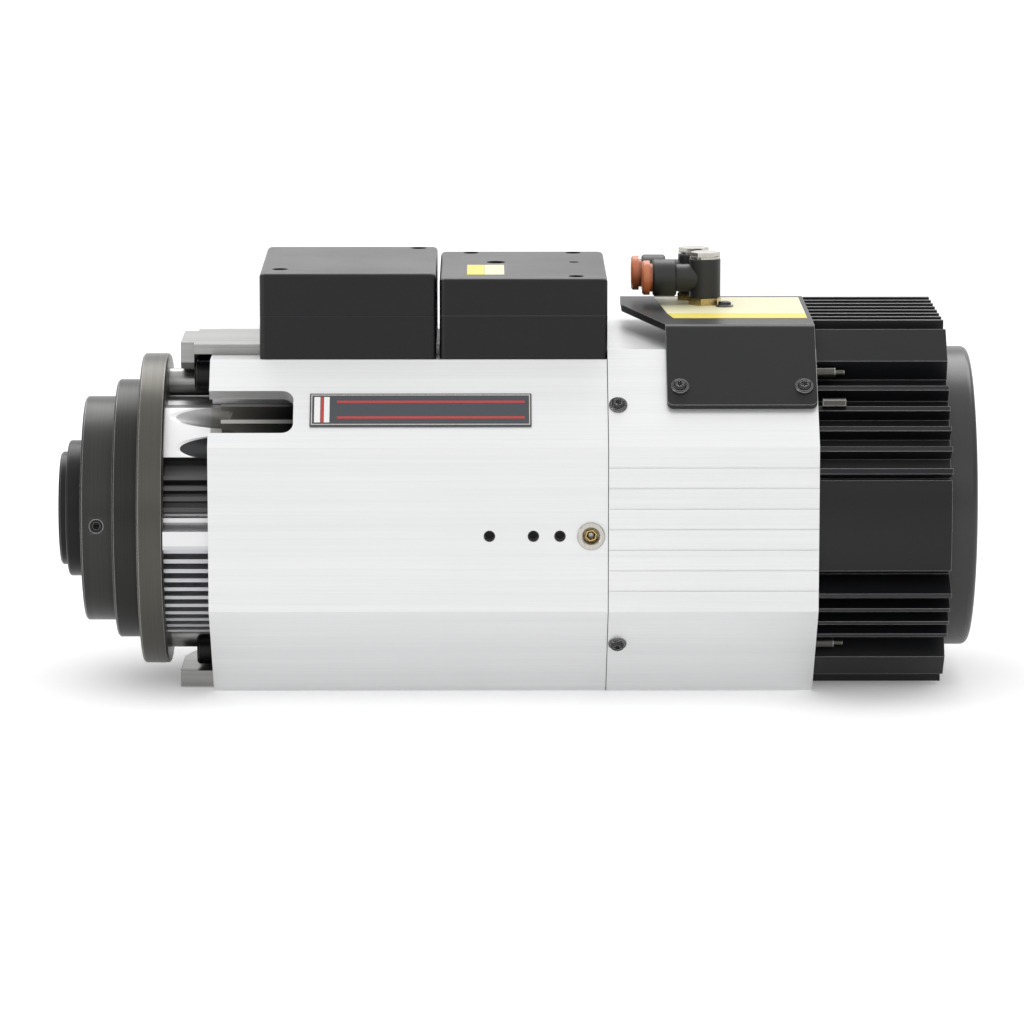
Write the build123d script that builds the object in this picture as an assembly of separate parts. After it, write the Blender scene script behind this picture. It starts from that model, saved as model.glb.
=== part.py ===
from build123d import *
import math
import os

# ---------------------------------------------------------------------------
# Motor spindle with automatic tool clamp, air cooled.  All sizes in mm.
# Frame: the origin is the centre of the nose face, on the axis of rotation.
# +X runs back along the axis to the fan, +Z is up, -Y is the plain side and
# +Y is the mounting side with the T-slots.
# ---------------------------------------------------------------------------

# --- main sizes across the axis
body_width = 152.0
body_height = 152.0

# --- lengths along the axis, from the nose back
nose_length = 3.4
labyrinth_length = 7.8
cover_length = 14.2
retainer_length = 11.3
flange_length = 11.5
air_gap = 19.9
front_housing_length = 172.2
rear_housing_length = 90.4
cowl_length = 57.3
guard_length = 12.0

x_labyrinth = nose_length
x_cover = x_labyrinth + labyrinth_length
x_retainer = x_cover + cover_length
x_flange = x_retainer + retainer_length
x_gap = x_flange + flange_length
x_front = x_gap + air_gap
x_joint = x_front + front_housing_length
x_cowl = x_joint + rear_housing_length
x_guard = x_cowl + cowl_length
x_end = x_guard + guard_length

# --- stepped nose
nose_radius = 25.0
labyrinth_radius = 30.0
labyrinth_hub_radius = 26.6
cover_radius = 49.5
retainer_radius = 57.0
flange_radius = 68.5
edge_chamfer = 0.8
small_clearance = 0.1
root_sink = 1.0
running_gap = 0.4
seat_gap = 0.3

nose_screw_count = 6
nose_screw_circle = 40.0
nose_screw_head_radius = 4.25
nose_screw_radius = 2.5
nose_screw_head_length = 5.0
nose_screw_shank_length = 24.0
set_screw_count = 3
set_screw_radius = 3.0
set_screw_length = 8.0
set_screw_hex = 3.0
set_screw_sink = 0.8

# --- bearings
front_ball_count = 12
rear_ball_count = 10
ball_radius_front = 5.0
ball_radius_rear = 4.0
ball_gap = 0.1
bearing_bore_front = 22.5
bearing_outer_front = 37.5
bearing_width_front = 16.0
bearing_bore_rear = 17.5
bearing_outer_rear = 31.0
bearing_width_rear = 14.0
front_bearing_count = 2
bearing_land = 4.6
cage_half_thickness = 1.2
cage_half_width = 4.0

# --- shaft and tool clamp
taper_mouth_radius = 15.875
taper_slope = 7.0 / 48.0
taper_depth = 46.0
stud_bore_radius = 9.4
stud_bore_length = 4.0
relief_radius = 14.0
relief_length = 12.0
closing_radius = 11.8
closing_length = 28.0
guide_radius = 6.6
guide_length = 6.0
spring_bore_radius = 12.8
shoulder_radius = 26.0
shoulder_length = 16.0
rotor_seat_radius = 20.0
shaft_tail = 27.0
locknut_radius = 25.0
locknut_length = 8.0
locknut_notch = 5.0
locknut_notch_count = 4

drawbar_radius = 6.5
drawbar_head_radius = 11.4
drawbar_head_length = 8.0
drawbar_tip_radius = 5.4
drawbar_tip_length = 12.0
drawbar_nut_radius = 12.4
drawbar_nut_length = 12.0
drawbar_tail = 4.0
nut_recess = 12.0
clamp_stroke = 8.0

finger_count = 4
finger_length = 20.0
finger_nose_reach = 2.0
finger_head_length = 6.0
finger_head_radius = 11.0
finger_body_radius = 9.8
finger_bore_radius = 6.6
finger_lip_radius = 5.8
finger_gap_angle = 16.0

spring_cup_count = 16
spring_cup_thickness = 1.5
spring_inner_radius = 6.9
spring_outer_radius = 12.4

# --- motor
rotor_radius = 27.0
rotor_length = 108.0
rotor_inset = 29.9
stator_bore = 27.6
winding_length = 13.0
winding_inner = 30.0
winding_outer = 43.0
jacket_bore = 45.0
jacket_core_radius = 52.0
jacket_radius = 62.0
jacket_flat_z = 50.0
jacket_fin_width = 1.9
jacket_fin_pitch = 4.6
hub_radius = jacket_bore - small_clearance
hub_lip_radius = 33.0
hub_lip_length = 2.5
retainer_spigot = 7.3
side_rib_width = 8.0
side_rib_z = -3.0
smooth_sector_low = 30.0
smooth_sector_high = 62.0
fin_sector_high = 23.0
fin_sector_low = -51.0
tall_fin_angle = 40.0
tall_fin_spread = 7.0
tall_fin_setback = 5.0
tall_fin_clearance = 2.0
pocket_radius = 7.0
pocket_angles = (34.0, 49.0)
pocket_starts = (5.0, 3.0)
pocket_tilt = 13.0
pocket_length = 26.0

# --- body section, seen along the axis
side_y = body_width / 2
mount_y = body_width / 2
base_z = -body_height / 2
rear_top_z = body_height / 2
front_step_down = 4.0
rear_step_out = 0.6
upper_chamfer_leg = 33.5
rear_chamfer_rise = 1.0
lower_chamfer_leg = 43.0
front_top_z = rear_top_z - front_step_down
rear_side_y = side_y + rear_step_out
front_chamfer_offset = front_top_z + side_y - upper_chamfer_leg
rear_chamfer_offset = front_chamfer_offset + rear_chamfer_rise
wall = 6.0
housing_bore = 64.0
web_half_width = 24.0
tee_slot_z = 45.0
tee_neck = 10.0
tee_neck_depth = 5.5
tee_width = 17.0
tee_depth = 7.5

slot_length = 36.5
slot_width = 22.5
slot_radius = 5.0
slot_inset_y = 13.6
port_hole_radius = 2.5
port_hole_depth = 5.6
port_hole_setbacks = (51.3, 32.4, 21.0)
air_port_setback = 7.6
air_port_radius = 6.0
air_port_stem_radius = 4.0
air_port_bore = 2.0
air_port_rim = 1.2
air_port_depth = 5.6
groove_count = 7
groove_top_z = 29.9
groove_pitch = 8.95
groove_width = 0.7
groove_depth = 0.5

column_radius = 6.1
column_clearance = 0.3
bolt_head_radius = 6.5
bolt_head_length = 8.0
bolt_radius = 4.0
bolt_shank_length = 30.0
bolt_hex = 6.0
bolt_hex_depth = 4.0
bolt_y = 14.0

# --- rails on the top and in the base
rail_half_width = 25.5
top_rail_thickness = 4.5
top_rail_overhang = 8.0
lug_length = 6.0
lug_height = 12.0
lug_half_width = 19.0
lug_chamfer = 3.0
base_rail_thickness = 7.0
base_rail_overhang = 15.0
base_rail_recess = 0.5
base_rail_chamfer_x = 5.0
base_rail_chamfer_y = 16.0

# --- rear bearing carrier and release cylinder
carrier_length = 16.0
carrier_lip_length = 2.0
carrier_lip_radius = 27.0
carrier_window_count = 6
carrier_window_inner = 44.0
carrier_window_outer = 58.0
carrier_spoke = 12.0
cylinder_setback = 8.7
cylinder_plate = 10.0
cylinder_bore = 50.0
cylinder_radius = 56.0
cylinder_lug_width = 12.0
cylinder_lug_count = 4
piston_thickness = 12.0
piston_fit = 0.08
piston_rod_radius = 9.0
seal_section = 3.0

# --- fan end
fan_z = 5.5
cowl_bore = 61.5
cowl_shell_radius = 67.0
cowl_side_step = 1.0
cowl_far_step = 1.0
cowl_top_step = 9.5
cowl_bottom_step = 1.5
cowl_chamfer_leg = 51.5
cowl_lower_leg = 48.5
cowl_fin_width = 2.4
top_fin_count = 8
straight_fin_pitch = 11.4
top_fin_first_y = -14.0
side_fin_angles = (16.5, 23.5, 31.0, 39.0, 47.5)
low_fin_angles = (-22.5, -29.5, -36.5, -43.5)
far_fin_count = 8
far_fin_first_z = -44.0
base_fin_count = 7
base_fin_first_y = -19.0
smooth_radius = 75.6
smooth_low = -16.5
smooth_high = 14.0
upper_band_angle = 64.6
upper_band_width = 16.5
lower_band_angle = -60.5
lower_band_width = 13.0
fan_motor_radius = 27.0
fan_motor_length = 19.0
fan_motor_inset = 4.0
fan_arm_width = 9.0
fan_arm_length = 5.0
fan_arm_count = 4
fan_pin_radius = 3.0
fan_pin_length = 16.0
fan_fit = 0.06
fan_hub_radius = 24.0
fan_hub_length = 22.0
fan_tip_radius = 58.0
fan_blade_count = 7
fan_blade_thickness = 1.8
fan_root_chord = 26.0
fan_tip_chord = 30.0
fan_root_pitch = 45.0
fan_tip_pitch = 62.0
fan_blade_sink = 1.5
guard_radius = 66.0
guard_rim = 5.0
guard_plate = 3.0
guard_edge_radius = 3.0
guard_ring_count = 5
guard_ring_width = 4.0
guard_spokes = 6
guard_spoke_width = 5.0
guard_hub_radius = 12.0

cowl_post_sites = ((-41.2, 66.0), (-46.0, -52.0), (46.0, -52.0))
cowl_post_radius = 2.2
cowl_post_length = 8.3
cowl_post_tip_radius = 1.2
cowl_post_tip_length = 4.0

# --- connection boxes
box_near_inset = 34.0
box_far_inset = 17.0
box_wall = 3.0
box_edge = 3.0
box_gap = 1.5
lid_edge = 1.8
box_inset = 21.4
power_box_length = 76.5
box_base_height = 19.0
power_lid_height = 18.4
signal_lid_height = 16.2
box_floor = 3.0
lid_screw_hole = 3.4
lid_screw_head = 3.1
lid_screw_sink = 3.0
lid_screw_head_length = 3.0
lid_screw_shank = 1.9
lid_boss = 4.8
lid_far_inset = 6.0
power_screw_inset_x = 8.5
power_screw_inset_y = 17.0
power_screw_corners = ((-1, -1), (1, 1))
signal_screw_inset_x = 13.5
signal_screw_inset_y = 9.0
signal_screw_corners = ((-1, 1), (1, 1), (1, -1))
service_holes = ((24.6, 60.0, 4.2), (59.2, 60.0, 2.2))
service_hole_depth = 2.0
gland_height = 10.2
gland_thread = 7.6
gland_bore = 4.6
gland_hex = 18.0
gland_hex_length = 6.0
gland_nut_radius = 8.6
gland_nut_length = 10.0
gland_hole_clearance = 0.2
terminal_length = 44.0
terminal_depth = 16.0
terminal_height = 12.0
terminal_count = 5
terminal_slot = 6.2
board_margin = 8.0
board_thickness = 1.6
header_length = 30.0
header_width = 8.0
header_height = 7.0

# --- plate, bracket and air fittings
plate_inset = 43.6
plate_length = 95.5
plate_width = 17.4
plate_thickness = 0.8
plate_inset_y = 14.0
bracket_lift = 10.0
bracket_thickness = 3.0
bracket_bend = 4.0
bracket_flange_length = 64.8
bracket_tip_reach = 17.4
bracket_tip_y = 35.0
bracket_far_inset = 11.0
bracket_foot_inset = 11.5
bracket_corner = 3.0
bracket_screw_inset = 5.6
bracket_screw_inset_y = 18.5
pan_head_radius = 4.0
pan_head_height = 2.4
pan_shank_radius = 2.0
pan_shank_length = 9.0
pan_recess_radius = 1.6
pan_recess_depth = 1.3
pan_head_rounding = 1.1
housing_screw_inset = 4.2
housing_screw_upper_inset = 15.2
housing_screw_lower_inset = 16.5

near_fitting_inset = (19.8, 36.0)
far_fitting_inset = (15.4, 54.0)
hex_across_flats = 13.0
hex_height = 3.2
stem_radius = 4.5
stem_depth = 18.0
cap_radius = 6.7
cap_height = 2.8
elbow_radius = 7.0
elbow_height = 17.4
barrel_radius = 8.25
barrel_reach = 23.4
barrel_length = 10.6
neck_radius = 6.1
tube_radius = 5.05
sleeve_radius = 6.3
sleeve_length = 8.0
ring_radius = 7.7
ring_length = 3.4
ring_travel = 1.2
tube_step = 1.0
hex_turn = 15.0
cap_disc_height = 1.0
cap_across_flats = 11.8
swivel_fit = 0.08
boss_radius = 7.0
standoff_inset = (28.3, 27.6)
standoff_radius = 4.0

# ---------------------------------------------------------------------------
# Derived stations
# ---------------------------------------------------------------------------
bearing_start = x_flange + retainer_spigot
bearing_end = bearing_start + front_bearing_count * bearing_width_front
hub_end = bearing_end + hub_lip_length
relief_start = taper_depth + stud_bore_length
closing_start = relief_start + relief_length
guide_start = closing_start + closing_length
spring_start = guide_start + guide_length
shaft_end = x_joint + shaft_tail
rear_bearing_start = x_joint + carrier_lip_length
rear_bearing_end = rear_bearing_start + bearing_width_rear
finger_start = closing_start - finger_nose_reach
finger_end = finger_start + finger_length
drawbar_head_start = finger_end + seat_gap
drawbar_end = shaft_end + drawbar_tail
spring_end = shaft_end - drawbar_nut_length - nut_recess
cylinder_start = shaft_end + cylinder_setback
cylinder_chamber = piston_thickness + 2 * clamp_stroke
cylinder_chamber_start = cylinder_start + cylinder_plate
cylinder_cover_start = cylinder_chamber_start + cylinder_chamber
cylinder_end = cylinder_cover_start + cylinder_plate
piston_end = cylinder_cover_start - seat_gap
piston_start = piston_end - piston_thickness
front_wall_top = front_top_z - wall
rotor_start = x_front + rotor_inset
slot_centre_y = slot_inset_y - side_y
slot_centre_z = slot_centre_y + front_chamfer_offset
column_z = jacket_flat_z + column_clearance + column_radius
bolt_z = (jacket_flat_z + front_top_z) / 2
port_hole_stations = [x_joint - setback for setback in port_hole_setbacks]
air_port_station = x_joint - air_port_setback
cowl_side_y = side_y + cowl_side_step
cowl_far_y = mount_y - cowl_far_step
cowl_top_z = rear_top_z + cowl_top_step
cowl_bottom_z = base_z + cowl_bottom_step
cowl_chamfer_offset = cowl_top_z + cowl_side_y - cowl_chamfer_leg
box_near_y = box_near_inset - side_y
box_far_y = mount_y - box_far_inset
box_start = x_front + box_inset
signal_box_start = box_start + power_box_length + box_gap
signal_box_length = x_joint - signal_box_start
seam_z = front_top_z + box_base_height
power_box_top = seam_z + power_lid_height
signal_box_top = seam_z + signal_lid_height
gland_z = front_top_z + gland_height
plate_start = x_front + plate_inset
plate_centre_y = plate_inset_y - side_y
bracket_top_z = rear_top_z + bracket_lift
bracket_end = x_cowl - seat_gap
bracket_flange_start = bracket_end - bracket_flange_length
bracket_tip_x = bracket_flange_start - bracket_tip_reach
bracket_far_y = mount_y - bracket_far_inset
bracket_flange_foot_y = bracket_foot_inset - side_y
bracket_screw_y = bracket_screw_inset_y - side_y
bracket_offset = rear_chamfer_offset + bracket_thickness * math.sqrt(2)
bracket_bend_y = bracket_top_z - bracket_offset
housing_screw_upper_y = housing_screw_upper_inset - side_y
housing_screw_lower_y = housing_screw_lower_inset - side_y
fitting_sites = [(bracket_flange_start + inset, y) for inset, y in (near_fitting_inset, far_fitting_inset)]
standoff_site = (bracket_flange_start + standoff_inset[0], standoff_inset[1])
half_turn = 180.0
diagonal = 45.0
full_turn = 360.0
upper_facet = 45.0
lower_facet = 135.0
plain_side = 90.0


# ---------------------------------------------------------------------------
# Helpers
# ---------------------------------------------------------------------------
def along_x(sketch, x0, x1):
    """A section drawn in Y and Z, carried along the axis from x0 to x1."""
    return extrude(Plane.YZ.offset(x0) * sketch, amount=x1 - x0)


def disc(x0, x1, radius, bore=0.0, y=0.0, z=0.0):
    """A round disc, ring or tube whose axis is parallel to X."""
    section = Circle(radius) - Circle(bore) if bore else Circle(radius)
    return along_x(Pos(y, z) * section, x0, x1)


def standing(radius, height):
    """A cylinder that stands on its own plane."""
    return extrude(Circle(radius), height)


def hanging(radius, depth):
    """A cylinder that hangs below its own plane."""
    return extrude(Circle(radius), -depth)


def standing_box(length, width, height):
    return extrude(Rectangle(length, width), height)


def turned(points):
    """A turned piece: its half section, as (x, radius) points, spun about the X axis."""
    return revolve(Plane.XZ * make_face(Polyline(*points, close=True)), axis=Axis.X)


def spun(shape, count, start=0.0, y=0.0, z=0.0):
    """Copies of a shape at equal angles about a line parallel to X."""
    step = full_turn / count
    return [Pos(0, y, z) * Rot(X=start + step * i) * shape for i in range(count)]


def joined(shapes):
    return Part() + list(shapes)


def group(shapes):
    """Separate solids kept together in one node."""
    solids = [solid for shape in shapes for solid in shape.solids()]
    return Compound(children=solids)


def ray(angle, inner, outer, width, z=0.0):
    """A bar in the Y-Z section that points outwards; 0 degrees is the plain side, 90 is up."""
    bar = Pos((inner + outer) / 2, 0) * Rectangle(outer - inner, width)
    return Pos(0, z) * Rot(Z=half_turn - angle) * bar


def sector(radius, low, high):
    """A pie slice of the Y-Z section between two angles above the plain side."""
    reach = 2 * radius
    corners = [(0, 0)]
    for angle in (low, (low + high) / 2, high):
        turn = math.radians(half_turn - angle)
        corners.append((reach * math.cos(turn), reach * math.sin(turn)))
    return Circle(radius) & make_face(Polyline(*corners, close=True))


def body_section(near, far, top, base, chamfer_offset, leg):
    """Outline of the body: square at the mounting side, chamfered at the plain side."""
    corners = [
        (-near, chamfer_offset - near),
        (top - chamfer_offset, top),
        (far, top),
        (far, base),
        (leg - near, base),
        (-near, base + leg),
    ]
    return make_face(Polyline(*corners, close=True))


def tee_section():
    """One T-slot, open at the mounting face."""
    neck = Pos(mount_y - tee_neck_depth / 2, 0) * Rectangle(tee_neck_depth, tee_neck)
    tee = Pos(mount_y - tee_neck_depth - tee_depth / 2, 0) * Rectangle(tee_depth, tee_width)
    return neck + tee


def tee_cuts(x0, x1):
    cuts = [along_x(Pos(0, side * tee_slot_z) * tee_section(), x0, x1) for side in (-1, 1)]
    return joined(cuts)


def facet(x, y, z, slope):
    """A place on a slanted facet of the plain side; its own Z points outwards."""
    return Pos(x, y, z) * Rot(X=slope)



def pan_screw(depth):
    """A pan-head screw: its own Z is outwards, with the head's seat at zero."""
    head = standing(pan_head_radius, pan_head_height)
    head = fillet(head.edges().group_by(Axis.Z)[-1], pan_head_rounding)
    socket = extrude(RegularPolygon(pan_recess_radius, 6), -pan_recess_depth)
    shank = hanging(pan_shank_radius, depth)
    return head - Pos(0, 0, pan_head_height) * socket + shank


def hex_bar(across_flats, height, turn=0.0):
    return extrude(Rot(Z=turn) * RegularPolygon(across_flats / math.sqrt(3), 6), height)


# ---------------------------------------------------------------------------
# Rotating group
# ---------------------------------------------------------------------------
def make_shaft():
    mouth = taper_mouth_radius
    small_end = mouth - taper_slope * taper_depth
    outline = [
        (0, mouth),
        (0, nose_radius - edge_chamfer),
        (edge_chamfer, nose_radius),
        (nose_length, nose_radius),
        (nose_length, bearing_bore_front),
        (bearing_end, bearing_bore_front),
        (bearing_end, shoulder_radius),
        (bearing_end + shoulder_length, shoulder_radius),
        (bearing_end + shoulder_length, rotor_seat_radius),
        (rear_bearing_start, rotor_seat_radius),
        (rear_bearing_start, bearing_bore_rear),
        (shaft_end, bearing_bore_rear),
        (shaft_end, spring_bore_radius),
        (spring_start, spring_bore_radius),
        (spring_start, guide_radius),
        (guide_start, guide_radius),
        (guide_start, closing_radius),
        (closing_start, closing_radius),
        (closing_start, relief_radius),
        (relief_start, relief_radius),
        (relief_start, stud_bore_radius),
        (taper_depth, stud_bore_radius),
        (taper_depth, small_end),
    ]
    return turned(outline)


def make_labyrinth_ring():
    outline = [
        (x_labyrinth, bearing_bore_front),
        (x_labyrinth, labyrinth_radius - edge_chamfer),
        (x_labyrinth + edge_chamfer, labyrinth_radius),
        (x_cover - running_gap, labyrinth_radius),
        (x_cover - running_gap, labyrinth_hub_radius),
        (bearing_start, labyrinth_hub_radius),
        (bearing_start, bearing_bore_front),
    ]
    return turned(outline)


def make_rotor_core():
    return disc(rotor_start, rotor_start + rotor_length, rotor_radius, rotor_seat_radius)


def front_bearing_starts():
    return [bearing_start + bearing_width_front * i for i in range(front_bearing_count)]


def ball_circle(bore, outer):
    return (bore + outer) / 2


def ring_pair(x0, width, bore, outer, ball_radius):
    """Inner and outer ring of one ball bearing, each with its groove."""
    middle = ball_circle(bore, outer)
    centre = x0 + width / 2
    groove = Pos(centre, middle) * Circle(ball_radius + ball_gap)
    rings = []
    for low, high in ((bore, middle - ball_radius + bearing_land / 2),
                      (middle + ball_radius - bearing_land / 2, outer)):
        block = Pos(centre, (low + high) / 2) * Rectangle(width, high - low)
        rings.append(revolve(Plane.XZ * (block - groove), axis=Axis.X))
    return rings


def front_bearings():
    return [ring_pair(x, bearing_width_front, bearing_bore_front, bearing_outer_front, ball_radius_front)
            for x in front_bearing_starts()]


def rear_bearing():
    return ring_pair(rear_bearing_start, bearing_width_rear, bearing_bore_rear, bearing_outer_rear,
                     ball_radius_rear)


def make_bearing_inner_rings():
    return group([pair[0] for pair in front_bearings()] + [rear_bearing()[0]])


def make_bearing_outer_rings():
    return group([pair[1] for pair in front_bearings()] + [rear_bearing()[1]])


def ball_row(centre, middle, ball_radius, count):
    """Balls of one bearing on their cage ring."""
    cage = disc(centre - cage_half_width, centre + cage_half_width,
                middle + cage_half_thickness, middle - cage_half_thickness)
    balls = spun(Pos(centre, 0, middle) * Sphere(ball_radius), count)
    return cage + balls


def make_front_ball_set():
    middle = ball_circle(bearing_bore_front, bearing_outer_front)
    half = bearing_width_front / 2
    return group([ball_row(x + half, middle, ball_radius_front, front_ball_count)
                  for x in front_bearing_starts()])


def make_rear_ball_set():
    middle = ball_circle(bearing_bore_rear, bearing_outer_rear)
    return ball_row(rear_bearing_start + bearing_width_rear / 2, middle, ball_radius_rear, rear_ball_count)


def make_shaft_locknut():
    nut = disc(rear_bearing_end, rear_bearing_end + locknut_length, locknut_radius, bearing_bore_rear)
    notch = Pos(rear_bearing_end + locknut_length, 0, locknut_radius) * Box(
        locknut_length, locknut_notch, locknut_notch)
    return nut - spun(notch, locknut_notch_count)


# ---------------------------------------------------------------------------
# Tool clamp
# ---------------------------------------------------------------------------
def make_drawbar():
    tip_start = drawbar_head_start - drawbar_tip_length
    outline = [
        (tip_start, 0),
        (tip_start, drawbar_tip_radius),
        (drawbar_head_start, drawbar_tip_radius),
        (drawbar_head_start, drawbar_head_radius),
        (drawbar_head_start + drawbar_head_length, drawbar_head_radius),
        (drawbar_head_start + drawbar_head_length, drawbar_radius),
        (spring_end, drawbar_radius),
        (spring_end, drawbar_nut_radius),
        (spring_end + drawbar_nut_length, drawbar_nut_radius),
        (spring_end + drawbar_nut_length, drawbar_radius),
        (drawbar_end, drawbar_radius),
        (drawbar_end, 0),
    ]
    return turned(outline)


def make_finger(index):
    """One gripper finger: a slice of a sleeve with a thick head and a hooked lip in front."""
    head_end = finger_start + finger_head_length
    lip_end = finger_start + finger_head_length / 2
    outline = [
        (finger_start, finger_lip_radius),
        (finger_start, finger_head_radius - edge_chamfer),
        (finger_start + edge_chamfer, finger_head_radius),
        (head_end - edge_chamfer, finger_head_radius),
        (head_end, finger_body_radius),
        (finger_end, finger_body_radius),
        (finger_end, finger_bore_radius),
        (lip_end, finger_bore_radius),
        (lip_end - edge_chamfer, finger_lip_radius),
    ]
    face = Plane.XZ * make_face(Polyline(*outline, close=True))
    slice_angle = full_turn / finger_count - finger_gap_angle
    finger = revolve(face, axis=Axis.X, revolution_arc=slice_angle)
    return Rot(X=index * full_turn / finger_count - slice_angle / 2) * finger


def make_disc_springs():
    """Disc springs in pairs, back to back, so the stack is a row of shallow cones."""
    pitch = (spring_end - spring_start) / spring_cup_count
    thickness = spring_cup_thickness
    cups = []
    for i in range(spring_cup_count):
        x0 = spring_start + pitch * i
        x1 = x0 + pitch
        inner, outer = (x0, x1) if i % 2 == 0 else (x1, x0)
        lean = thickness if inner < outer else -thickness
        cups.append(turned([
            (inner, spring_inner_radius),
            (inner + lean, spring_inner_radius),
            (outer, spring_outer_radius),
            (outer - lean, spring_outer_radius),
        ]))
    return group(cups)


# ---------------------------------------------------------------------------
# Nose and front bearing housing
# ---------------------------------------------------------------------------
def rimmed_ring(x0, x1, radius, bore):
    outline = [
        (x0, bore),
        (x0, radius - edge_chamfer),
        (x0 + edge_chamfer, radius),
        (x1, radius),
        (x1, bore),
    ]
    return turned(outline)


def nose_bolt_holes(x0, radius, length):
    hole = Pos(x0, 0, nose_screw_circle) * Rot(Y=90) * standing(radius, length)
    return spun(hole, nose_screw_count)


def make_nose_cover():
    ring = rimmed_ring(x_cover, x_retainer, cover_radius, labyrinth_hub_radius + running_gap)
    ring -= nose_bolt_holes(x_cover, nose_screw_head_radius + small_clearance, nose_screw_head_length)
    ring -= nose_bolt_holes(x_cover, nose_screw_radius + small_clearance, cover_length)
    hole = Pos(x_cover + cover_length / 2, -cover_radius + set_screw_length / 2, 0) * Rot(X=90) * Cylinder(
        set_screw_radius, 2 * set_screw_length)
    return ring - spun(hole, set_screw_count)


def make_set_screws():
    length = set_screw_length
    screw = hanging(set_screw_radius - small_clearance, length)
    screw -= extrude(RegularPolygon(set_screw_hex / math.sqrt(3), 6), -length / 2)
    placed = Pos(x_cover + cover_length / 2, -cover_radius + set_screw_sink, 0) * Rot(X=plain_side) * screw
    return group(spun(placed, set_screw_count))


def make_nose_screws():
    head = standing(nose_screw_head_radius, nose_screw_head_length - edge_chamfer)
    head -= extrude(RegularPolygon(nose_screw_radius, 6), nose_screw_head_length / 2)
    shank = standing(nose_screw_radius, nose_screw_shank_length)
    shank = Pos(0, 0, nose_screw_head_length - edge_chamfer) * shank
    screw = Pos(x_cover + edge_chamfer, 0, nose_screw_circle) * Rot(Y=90) * (head + shank)
    return group(spun(screw, nose_screw_count))


def make_bearing_retainer():
    bore = labyrinth_hub_radius + running_gap
    spigot = bearing_outer_front - small_clearance
    outline = [
        (x_retainer, bore),
        (x_retainer, retainer_radius - edge_chamfer),
        (x_retainer + edge_chamfer, retainer_radius),
        (x_flange, retainer_radius),
        (x_flange, spigot),
        (bearing_start, spigot),
        (bearing_start, hub_lip_radius),
        (x_flange, hub_lip_radius),
        (x_flange, bore),
    ]
    holes = nose_bolt_holes(x_retainer, nose_screw_radius + small_clearance, retainer_length)
    return turned(outline) - holes


def make_front_flange():
    rim = flange_radius - edge_chamfer
    outline = [
        (x_flange, bearing_outer_front),
        (x_flange, rim),
        (x_flange + edge_chamfer, flange_radius),
        (x_gap - edge_chamfer, flange_radius),
        (x_gap, rim),
        (x_gap, hub_radius),
        (hub_end, hub_radius),
        (hub_end, hub_lip_radius),
        (bearing_end, hub_lip_radius),
        (bearing_end, bearing_outer_front),
    ]
    return turned(outline) - nose_bolt_holes(x_flange, nose_screw_radius + small_clearance,
                                             nose_screw_shank_length - retainer_length)


# ---------------------------------------------------------------------------
# Motor
# ---------------------------------------------------------------------------
def fin_angles(low, high, radius):
    """Angles of evenly pitched fins between two angles."""
    step = math.degrees(jacket_fin_pitch / radius)
    count = int((high - low) / step)
    spare = (high - low - count * step) / 2
    return [low + spare + step * i for i in range(count + 1)]


def jacket_section():
    """Section of the finned jacket: core, fins, smooth sectors and side ribs."""
    rib_angle = math.degrees(math.asin((side_rib_width / 2 + jacket_fin_width) / jacket_radius))
    rib_middle = math.degrees(math.asin(side_rib_z / jacket_radius))
    low_fins = fin_angles(fin_sector_low, rib_middle - rib_angle, jacket_radius)
    high_fins = fin_angles(rib_middle + rib_angle, fin_sector_high, jacket_radius)
    section = Circle(jacket_core_radius)
    inner = jacket_core_radius - root_sink
    for angle in low_fins + high_fins:
        section += ray(angle, inner, jacket_radius, jacket_fin_width)
        section += ray(half_turn - angle, inner, jacket_radius, jacket_fin_width)
    section += sector(jacket_radius, smooth_sector_low, smooth_sector_high)
    section += sector(jacket_radius, half_turn - smooth_sector_high, half_turn - smooth_sector_low)
    near_reach = side_y - wall
    near_rib = Pos(-(near_reach + jacket_core_radius - root_sink) / 2, side_rib_z) * Rectangle(
        near_reach - jacket_core_radius + root_sink, side_rib_width)
    far_rib = Pos((jacket_radius + jacket_core_radius - root_sink) / 2, side_rib_z) * Rectangle(
        jacket_radius - jacket_core_radius + root_sink, side_rib_width)
    section += near_rib + far_rib
    section &= Rectangle(3 * jacket_radius, 2 * jacket_flat_z)
    return section - Circle(jacket_bore)


def air_pocket(angle, start):
    """A round groove that runs out of the smooth sector at the front."""
    cutter = Rot(Y=90) * standing(pocket_radius, pocket_length)
    tilted = Pos(x_gap + start, 0, jacket_radius + pocket_radius) * Rot(Y=pocket_tilt) * cutter
    return Rot(X=90 - angle) * tilted


def make_motor_jacket():
    jacket = along_x(jacket_section(), x_gap, x_joint)
    facet_radius = front_chamfer_offset / math.sqrt(2) - wall
    tall = [ray(tall_fin_angle + tall_fin_spread * i, jacket_radius - root_sink,
                facet_radius - tall_fin_clearance, jacket_fin_width) for i in (-1, 0, 1)]
    jacket += [along_x(fin, x_front + tall_fin_setback, x_joint) for fin in tall]
    jacket -= [air_pocket(angle, start) for angle, start in zip(pocket_angles, pocket_starts)]
    return jacket


def make_stator_core():
    return disc(rotor_start, rotor_start + rotor_length, jacket_bore - small_clearance, stator_bore)


def make_stator_windings():
    ends = []
    for x0 in (rotor_start - winding_length, rotor_start + rotor_length):
        coil = disc(x0, x0 + winding_length, winding_outer, winding_inner)
        ends.append(coil)
    return group(ends)


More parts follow.
